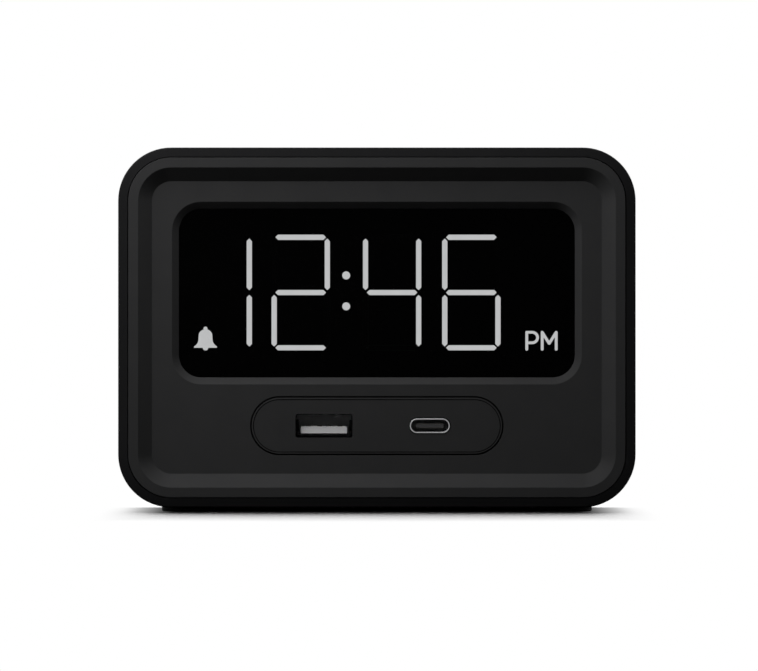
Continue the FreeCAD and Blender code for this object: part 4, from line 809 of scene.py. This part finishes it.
@dataclass
class Sign:
    """A flat sign printed on a surface.

    Attributes:
        name: Name of the piece.
        place: Middle of the sign, on the surface.
        facing: The side that it is read from.
        body: The body that it moves with.
        thickness: Thickness of the print, half of it proud of the surface, in metres.
        capital: Height of a capital letter, as a share of the font's size.
        spacing: Distance between letters, as a share of the font's own.
        letter_steps: Faces along each bend of a letter.
    """

    name: str
    place: Vector
    facing: Facing
    body: str = "housing"
    thickness: float = 0.03 * MM
    capital: float = 0.72
    spacing: float = 1.08
    letter_steps: int = 4

    def _finish(self, curve: bpy.types.Curve) -> None:
        """Turn a flat curve into the printed piece."""
        curve.extrude = self.thickness / 2
        source = bpy.data.objects.new(f"{self.name}_outline", curve)
        bpy.context.scene.collection.objects.link(source)
        bpy.context.view_layer.update()
        mesh = source.to_mesh()
        mesh.transform(self.facing.matrix(self.place))
        shape = bmesh.new()
        shape.from_mesh(mesh)
        source.to_mesh_clear()
        bpy.data.objects.remove(source)
        bpy.data.curves.remove(curve)
        bmesh.ops.remove_doubles(shape, verts=shape.verts, dist=WELD)
        new_piece(self.name, shape, PRINT, self.body, rounded=False)

    def word(self, text: str, height: float) -> None:
        """Print a word.

        Args:
            text: The word.
            height: Height of its letters, in metres.
        """
        curve = bpy.data.curves.new(self.name, "FONT")
        curve.body = text
        curve.size = height / self.capital
        curve.space_character = self.spacing
        curve.align_x = "CENTER"
        curve.align_y = "CENTER"
        curve.resolution_u = self.letter_steps
        self._finish(curve)

    def outlines(self, loops: Iterable[Loop]) -> None:
        """Print closed outlines; one inside another is a hole."""
        curve = bpy.data.curves.new(self.name, "CURVE")
        curve.dimensions = "2D"
        curve.fill_mode = "BOTH"
        for loop in loops:
            spline = curve.splines.new("POLY")
            spline.points.add(len(loop) - 1)
            for point, (x, y) in zip(spline.points, loop):
                point.co = (x, y, 0, 1)
            spline.use_cyclic_u = True
        self._finish(curve)


@dataclass
class Icons:
    """Outlines of the plain signs, each drawn in a square about the origin.

    Attributes:
        size: Side of the square, in metres.
        line: Width of the pen, in metres.
    """

    size: float
    line: float

    RAYS = 8
    RING = 0.45  # radius of the sun's ring; this and what follows are shares of half the square
    RAY_START = 0.68
    BELL_SIDE = (
        (0.0, 0.92), (0.16, 0.88), (0.2, 0.74), (0.46, 0.56), (0.58, 0.2), (0.62, -0.2), (0.86, -0.56)
    )
    CLAPPER_Y = -0.78
    CLAPPER_RADIUS = 0.18
    LETTERS = ((-0.28, -0.1, 0.5), (0.42, 0.34, 0.3))  # middle and side of each Z, as shares of the square

    def sun(self) -> list[Loop]:
        """A ring with its rays."""
        reach = self.size / 2
        loops = [disc(0, 0, reach * self.RING), disc(0, 0, reach * self.RING - self.line)]
        for i in range(self.RAYS):
            a = 2 * math.pi * i / self.RAYS
            ray = [(r * math.cos(a), r * math.sin(a)) for r in (reach * self.RAY_START, reach)]
            loops.append(stroke(ray[0], ray[1], self.line))
        return loops

    def bell(self) -> list[Loop]:
        """A bell with its clapper."""
        reach = self.size / 2
        right = [(x * reach, y * reach) for x, y in self.BELL_SIDE]
        left = [(-x, y) for x, y in reversed(right[1:])]
        return [right + left, disc(0, self.CLAPPER_Y * reach, self.CLAPPER_RADIUS * reach)]

    def sleep(self) -> list[Loop]:
        """A large and a small letter Z."""
        loops = []
        for x, y, side in self.LETTERS:
            cx, cy, reach = x * self.size, y * self.size, side * self.size / 2
            pen = self.line * side
            bar, slant = 2 * pen, 3 * pen
            half = [
                (-reach, reach),
                (reach, reach),
                (reach, reach - bar),
                (slant - reach, bar - reach),
                (reach, bar - reach),
            ]
            turned = [(-dx, -dy) for dx, dy in half]
            loops.append([(cx + dx, cy + dy) for dx, dy in half + turned])
        return loops


# The clock


@dataclass
class Case:
    """The sleeve, the rear cover with its screws and the feet.

    Attributes:
        edge: Reach of the edge rounds of the large mouldings, in metres.
        screw_edge: Reach of the edge rounds of the screws, in metres.
        foot_rings: Radii of the grooves under a foot, as shares of its radius.
        groove: Depth and half width of such a groove, in metres; a foot's rim is rounded by twice as much.
        rim_steps: Faces across that round.
        foot_steps: Faces round a foot.
    """

    edge: float = 0.15 * MM
    screw_edge: float = 0.08 * MM
    foot_rings: tuple[float, ...] = (0.36, 0.58, 0.8)
    groove: float = 0.2 * MM
    rim_steps: int = 6
    foot_steps: int = 64

    def build(self) -> None:
        """Make the pieces."""
        Moulding("outer_shell", SHELL, self.edge).build()
        Moulding("rear_cover", CASE, self.edge).build()
        Moulding("rear_cover_screws", SCREW, self.screw_edge).build()
        self.feet()

    def foot_profile(self, radius: float, height: float) -> list[Point]:
        """Half the section of a foot, from the middle of its underside to the middle of its top."""
        profile = [(0.0, 0.0)]
        for share in self.foot_rings:
            middle = share * radius
            profile += [
                (middle - self.groove, 0.0),
                (middle - self.groove / 2, self.groove),
                (middle + self.groove / 2, self.groove),
                (middle + self.groove, 0.0),
            ]
        rim = 2 * self.groove
        arc = [math.pi / 2 * i / self.rim_steps for i in range(self.rim_steps + 1)]
        profile += [(radius - rim + rim * math.sin(a), rim - rim * math.cos(a)) for a in arc]
        return profile + [(radius, height), (0.0, height)]

    def feet(self) -> None:
        """Turn the four feet, with anti-slip grooves."""
        low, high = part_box("rubber_feet")
        radius = self.foot_radius()
        profile = self.foot_profile(radius, high.z - low.z)
        shape = bmesh.new()
        for x in (low.x + radius, high.x - radius):
            for y in (low.y + radius, high.y - radius):
                turned_shape(shape, Vector((x, y, low.z)), profile, self.foot_steps)
        piece = new_piece("rubber_feet_piece", shape, RUBBER, "housing")
        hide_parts("rubber_feet")

    def foot_radius(self) -> float:
        """Radius of a foot, measured on the node."""
        vertices = frame["nodes"]["rubber_feet"].data.vertices
        low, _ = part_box("rubber_feet")
        one_foot = [v.co.x for v in vertices if v.co.x < 0]
        return (max(one_foot) - low.x) / 2


@dataclass
class Front:
    """The bezel, the display behind its window and the charging panel.

    Attributes:
        bezel_edge: Reach of the edge rounds of the bezel, in metres.
        lens_edge: Reach of the edge rounds of the lens, in metres.
        shell_edge: Reach of the edge rounds of the socket shells, in metres.
        tongue_edge: Reach of the edge rounds of the large socket's tongue, in metres.
        spring_x: A roof spring of the large socket from its middle, in metres.
        spring_in: Front end of a spring from the mouth of the socket, in metres.
        spring_length: Length of a spring, in metres.
        spring_width: Width of a roof spring, in metres.
        side_spring_width: Width of a side spring, in metres.
        spring_reach: How far a spring bends into the socket, in metres.
        spring_air: A spring's root from the block at the back of the socket, in metres.
        spring_steps: Faces along a spring.
        sheet: Thickness of a spring, in metres.
    """

    bezel_edge: float = 0.1 * MM
    lens_edge: float = 0.2 * MM
    shell_edge: float = 0.07 * MM
    tongue_edge: float = 0.2 * MM
    spring_x: float = 3.0 * MM
    spring_in: float = 1.2 * MM
    spring_length: float = 6.0 * MM
    spring_width: float = 1.8 * MM
    side_spring_width: float = 2.6 * MM
    spring_reach: float = 0.4 * MM
    spring_air: float = 0.05 * MM
    spring_steps: int = 10
    sheet: float = 0.15 * MM

    def build(self) -> None:
        """Make the pieces."""
        Moulding("front_bezel", BEZEL, self.bezel_edge).build()
        Moulding("port_panel", PORT_PANEL, self.bezel_edge).build()
        Moulding("display_lens", LENS, self.lens_edge).build()
        Moulding("usb_a_shell", BLACK_SHELL_EDGE_SHADE, self.shell_edge).build()
        Moulding("usb_a_tongue", PALE_TONGUE, self.tongue_edge, segments=3).build()
        Moulding("usb_c_shell", NICKEL, self.shell_edge, segments=3).build()
        Moulding("usb_c_tongue", DARK_TONGUE, self.shell_edge).build()
        self.springs()

    def springs(self) -> None:
        """Bend the leaf springs out of the walls of the large socket: two in its roof, one in each side."""
        low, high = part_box("usb_a_shell")
        tongue_low, tongue_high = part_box("usb_a_tongue")
        middle_x, middle_z = (low.x + high.x) / 2, (low.z + high.z) / 2
        roof = Vector((middle_x, low.y, tongue_high.z + self.spring_air))
        down, right = Vector((0, 0, -1)), Vector((1, 0, 0))
        shape = bmesh.new()
        for x in (-self.spring_x, self.spring_x):
            self.spring(shape, roof + right * x, down, right, self.spring_width)
        # the roof springs carry painted light
        new_piece("usb_a_roof_springs", shape, SPRING_PAINTED_LIGHT, "housing")
        shape = bmesh.new()
        walls = ((tongue_low.x - self.spring_air, right), (tongue_high.x + self.spring_air, -right))
        for wall_x, inward in walls:
            self.spring(shape, Vector((wall_x, low.y, middle_z)), inward, down, self.side_spring_width)
        # the side springs carry painted shade
        new_piece("usb_a_side_springs", shape, SPRING_PAINTED_SHADE, "housing")

    def spring(
        self, shape: bmesh.types.BMesh, root: Vector, inward: Vector, across: Vector, width: float
    ) -> None:
        """Add a leaf spring that bulges from a wall of the socket.

        Args:
            shape: The mesh that gets it.
            root: Middle of its width on the wall, level with the mouth of the socket.
            inward: The way that it bulges.
            across: The way of its width.
            width: Its width, in metres.
        """
        rows = []
        for i in range(self.spring_steps + 1):
            share = i / self.spring_steps
            bulge = self.spring_reach * math.sin(math.pi * share) ** 2
            on_wall = root + Vector((0, self.spring_in + share * self.spring_length, 0))
            corners = [
                on_wall + across * (side * width / 2) + inward * (bulge + through)
                for side, through in ((-1, 0), (1, 0), (1, self.sheet), (-1, self.sheet))
            ]
            rows.append([shape.verts.new(corner) for corner in corners])
        faces = [shape.faces.new(rows[0]), shape.faces.new(rows[-1])]
        for near, far in zip(rows, rows[1:]):
            for i in range(4):
                j = (i + 1) % 4
                faces.append(shape.faces.new((near[i], near[j], far[j], far[i])))
        bmesh.ops.recalc_face_normals(shape, faces=faces)


@dataclass
class Controls:
    """The snooze bar, the round buttons, the rear buttons, the knob and their signs.

    Attributes:
        edge: Reach of the edge rounds that the solids lack, in metres.
        letter: Height of the printed letters, in metres.
        recess: Depth of the recess that holds the rear controls, in metres.
        word_rise: A word above the middle of what it names, in metres.
        icon: Size of a sign on the top, in metres.
        line: Pen width of those signs, in metres.
    """

    edge: float = 0.1 * MM
    letter: float = 1.5 * MM
    recess: float = 1.0 * MM
    word_rise: float = 5.4 * MM
    icon: float = 4.6 * MM
    line: float = 0.4 * MM

    REAR_WORDS = {
        "time_set_button": ("time_set_button_word", "TIME"),
        "alarm_set_button": ("alarm_set_button_word", "ALARM"),
        "hour_button": ("hour_button_word", "HOUR"),
        "minute_button": ("minute_button_word", "MIN"),
        "slide_switch_housing": ("daylight_saving_word", "DST"),
    }
    CAPS = (
        "snooze_bar",
        "alarm_button",
        "brightness_button",
        "time_set_button",
        "alarm_set_button",
        "hour_button",
        "minute_button",
        "daylight_saving_knob",
    )

    def build(self) -> None:
        """Make the pieces."""
        for node in self.CAPS:
            Moulding(node, CONTROL, self.edge).build()
        self.rear_words()
        self.top_icons()

    def rear_words(self) -> None:
        """Print what each rear control does above it, on the floor of the recess."""
        floor_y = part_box("rear_cover")[1].y - self.recess
        for node, (name, word) in self.REAR_WORDS.items():
            low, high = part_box(node)
            place = Vector(((low.x + high.x) / 2, floor_y, (low.z + high.z) / 2 + self.word_rise))
            Sign(name, place, Facing.REAR).word(word, self.letter)

    def top_icons(self) -> None:
        """Print a plain sign on each control in the top."""
        icons = Icons(self.icon, self.line)
        drawn = {"alarm_button": icons.bell(), "brightness_button": icons.sun(), "snooze_bar": icons.sleep()}
        for node, loops in drawn.items():
            low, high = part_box(node)
            place = Vector(((low.x + high.x) / 2, (low.y + high.y) / 2, high.z))
            Sign(f"{node}_icon", place, Facing.TOP, node).outlines(loops)


@dataclass
class Inside:
    """What is behind the case, and the finish of every node that keeps its shape.

    Attributes:
        edge: Reach of the edge rounds of the pieces seen through holes, in metres.
    """

    edge: float = 0.08 * MM

    def build(self) -> None:
        """Make the pieces, then finish the nodes, whose first materials name the slots until then."""
        self.rounded()
        for name, node in sorted(frame["nodes"].items()):
            finish = NODE_FINISHES.get(name) or SLOT_FINISHES[node.data.materials[0].name]
            node.data.materials[0] = finish.material()
            LOG.info("node %s: %s", name, finish.name)

    def rounded(self) -> None:
        """Round the pieces that show through the openings of the case."""
        Moulding("dc_jack_body", CHIP, self.edge).build()
        Moulding("battery_drawer", CASE, self.edge).build()
        Moulding("backup_cell", CELL, self.edge).build()
        Moulding("slide_switch_housing", CHIP, self.edge).build()


# Studio


@dataclass
class Lamp:
    """A round soft lamp.

    Attributes:
        name: Name of the lamp.
        place: Where it hangs, in metres.
        aim: The point that it faces.
        across: Its diameter, in metres.
        level: How bright a white card at the aim looks when it faces the lamp.
        lights_floor: Whether it lights the floor too.
        reaches_recess: Whether the bezel keeps none of its light off what is set back in it.
    """

    name: str
    place: Vector
    aim: Vector
    across: float
    level: float
    lights_floor: bool = False
    reaches_recess: bool = False

    def all_but(self, purpose: str, left_out: bpy.types.Object) -> bpy.types.Collection:
        """A collection for the lamp's light linking that leaves out one object."""
        rest = bpy.data.collections.new(f"{self.name}_{purpose}")
        rest.objects.link(left_out)
        rest.collection_objects[0].light_linking.link_state = "EXCLUDE"
        return rest

    def build(self, floor: bpy.types.Object, bezel: bpy.types.Object) -> None:
        """Hang the lamp.

        Args:
            floor: The floor, which some lamps leave out.
            bezel: The bezel, which casts no shadow of some lamps.
        """
        light = bpy.data.lights.new(self.name, "AREA")
        light.shape = "DISK"
        light.size = self.across
        ray = self.aim - self.place
        light.energy = self.level * math.pi**2 * ray.length_squared
        lamp = bpy.data.objects.new(self.name, light)
        lamp.matrix_world = Matrix.Translation(self.place) @ ray.to_track_quat("-Z", "Y").to_matrix().to_4x4()
        bpy.context.scene.collection.objects.link(lamp)
        if not self.lights_floor:
            lamp.light_linking.receiver_collection = self.all_but("lit", floor)
        if self.reaches_recess:
            lamp.light_linking.blocker_collection = self.all_but("blockers", bezel)


@dataclass
class Studio:
    """A white floor under a white sky, a soft lamp in front, one overhead and one behind.

    Attributes:
        floor_size: Side of the floor, in metres.
        lit_reach: Out to here the lamps alone light the floor, in metres from the clock.
        white_from: From here on the floor is plain white, in metres.
        fill: Level of the light from all round.
        floor_bounce: How pale the floor is to light that falls back on the clock.
        shade_half: The shadow is whole out to here on both sides, in metres.
        shade_end: The shadow has faded here on both sides, in metres.
        middle: Height of the middle of the clock, at which two lamps aim, in metres.
    """

    floor_size: float = 8.0
    lit_reach: float = 0.1
    white_from: float = 0.14
    fill: float = 0.012
    floor_bounce: float = 0.03
    shade_half: float = 44.5 * MM
    shade_end: float = 62.0 * MM
    middle: float = 0.04

    def build(self) -> None:
        """Make the floor, the sky and the lamps."""
        floor = self.floor()
        self.sky()
        for lamp in self.lamps():
            lamp.build(floor, bpy.data.objects["front_bezel_piece"])

    def lamps(self) -> tuple[Lamp, ...]:
        """The lamps: a soft one in front, one overhead and one behind."""
        middle = Vector((0, 0, self.middle))
        front = Lamp(
            "front_lamp",
            place=Vector((-0.085, -0.081, 0.213)),
            aim=middle,
            across=0.292,
            level=1.9,
            reaches_recess=True,
        )
        overhead = Lamp(
            "overhead_lamp",
            place=Vector((-0.02, 0.33, 0.69)),
            aim=Vector(ORIGIN),
            across=0.64,
            level=1.35,
            lights_floor=True,
        )
        rear = Lamp("rear_lamp", place=Vector((0.45, 0.6, 0.42)), aim=middle, across=0.5, level=0.6)
        return front, overhead, rear

    def shown(self, graph: Graph) -> Wire:
        """1 for what the camera, a reflection or a clear piece shows, 0 for light that falls on the clock."""
        kinds = ("Camera", "Glossy", "Transmission")
        camera, glossy, clear = (graph.node("ShaderNodeLightPath", out=f"Is {kind} Ray") for kind in kinds)
        return camera.either(glossy).either(clear)

    def floor(self) -> bpy.types.Object:
        """Lay the floor, which keeps the clock's shadow near it and is plain white further out."""
        shape = bmesh.new()
        bmesh.ops.create_grid(shape, x_segments=1, y_segments=1, size=self.floor_size / 2)
        mesh = bpy.data.meshes.new("floor")
        shape.to_mesh(mesh)
        shape.free()
        mesh.materials.append(self.floor_material())
        floor = bpy.data.objects.new("floor", mesh)
        bpy.context.scene.collection.objects.link(floor)
        return floor

    def floor_material(self) -> bpy.types.Material:
        """The floor's white, which is lit near the clock and shines by itself further out."""
        material = bpy.data.materials.new("white_floor")
        material.use_nodes = True
        graph = Graph(material.node_tree)
        distance = graph.vector("LENGTH", graph.place(), out="Value").ramp(self.lit_reach, self.white_from)
        # painted light: beside the clock the floor shines plain white, which cuts the lamps' shadow short at
        # both sides
        aside = abs(graph.along(graph.place(), "X")).ramp(self.shade_half, self.shade_end)
        lit = graph.node("ShaderNodeBsdfDiffuse", None, {"Color": WHITE})
        plain = graph.node("ShaderNodeEmission", None, {"Color": WHITE, "Strength": 1.0})
        seen = graph.node("ShaderNodeMixShader", None, {0: distance.either(aside), 1: lit, 2: plain})
        unseen = graph.node("ShaderNodeBsdfDiffuse", None, {"Color": opaque(WHITE[:3], self.floor_bounce)})
        surface = graph.node("ShaderNodeMixShader", None, {0: self.shown(graph), 1: unseen, 2: seen})
        graph.show("ShaderNodeOutputMaterial", surface)
        return material

    def sky(self) -> None:
        """Surround the clock with white, which lights it only weakly."""
        world = bpy.data.worlds.new("white_sky")
        world.use_nodes = True
        graph = Graph(world.node_tree)
        color = graph.mix(self.shown(graph), opaque(WHITE[:3], self.fill), WHITE)
        light = graph.node("ShaderNodeBackground", None, {"Color": color, "Strength": 1.0})
        graph.show("ShaderNodeOutputWorld", light)
        bpy.context.scene.world = world


@dataclass
class Camera:
    """A long lens level with the clock, straight in front of it.

    Attributes:
        distance: From the front of the clock, in metres.
        span: Width that the picture shows at the front of the clock, in metres.
        right: Middle of the picture to the right of the clock's middle, in metres.
        height: Middle of the picture above the table, in metres.
        sensor: Width of the sensor, in millimetres.
        near: Nothing nearer than this shows, in metres.
    """

    distance: float = 2.0
    span: float = 168.4 * MM
    right: float = 0.47 * MM
    height: float = 39.22 * MM
    sensor: float = 36.0
    near: float = 0.05

    def build(self) -> None:
        """Place the camera."""
        data = bpy.data.cameras.new("camera")
        data.sensor_width = self.sensor
        data.lens = self.sensor * self.distance / self.span
        data.clip_start = self.near
        camera = bpy.data.objects.new("camera", data)
        camera.location = (self.right, CAD_BOX[0].y - self.distance, self.height)
        camera.rotation_euler = (math.pi / 2, 0, 0)
        bpy.context.scene.collection.objects.link(camera)
        bpy.context.scene.camera = camera


def main() -> None:
    """Build the clock and the studio round it."""
    logging.basicConfig(level=logging.INFO, format="%(message)s")
    bpy.context.scene.view_settings.view_transform = "Standard"
    for part in (Camera(), Case(), Front(), Controls(), Inside(), Studio()):
        part.build()


if __name__ == "__main__":
    main()
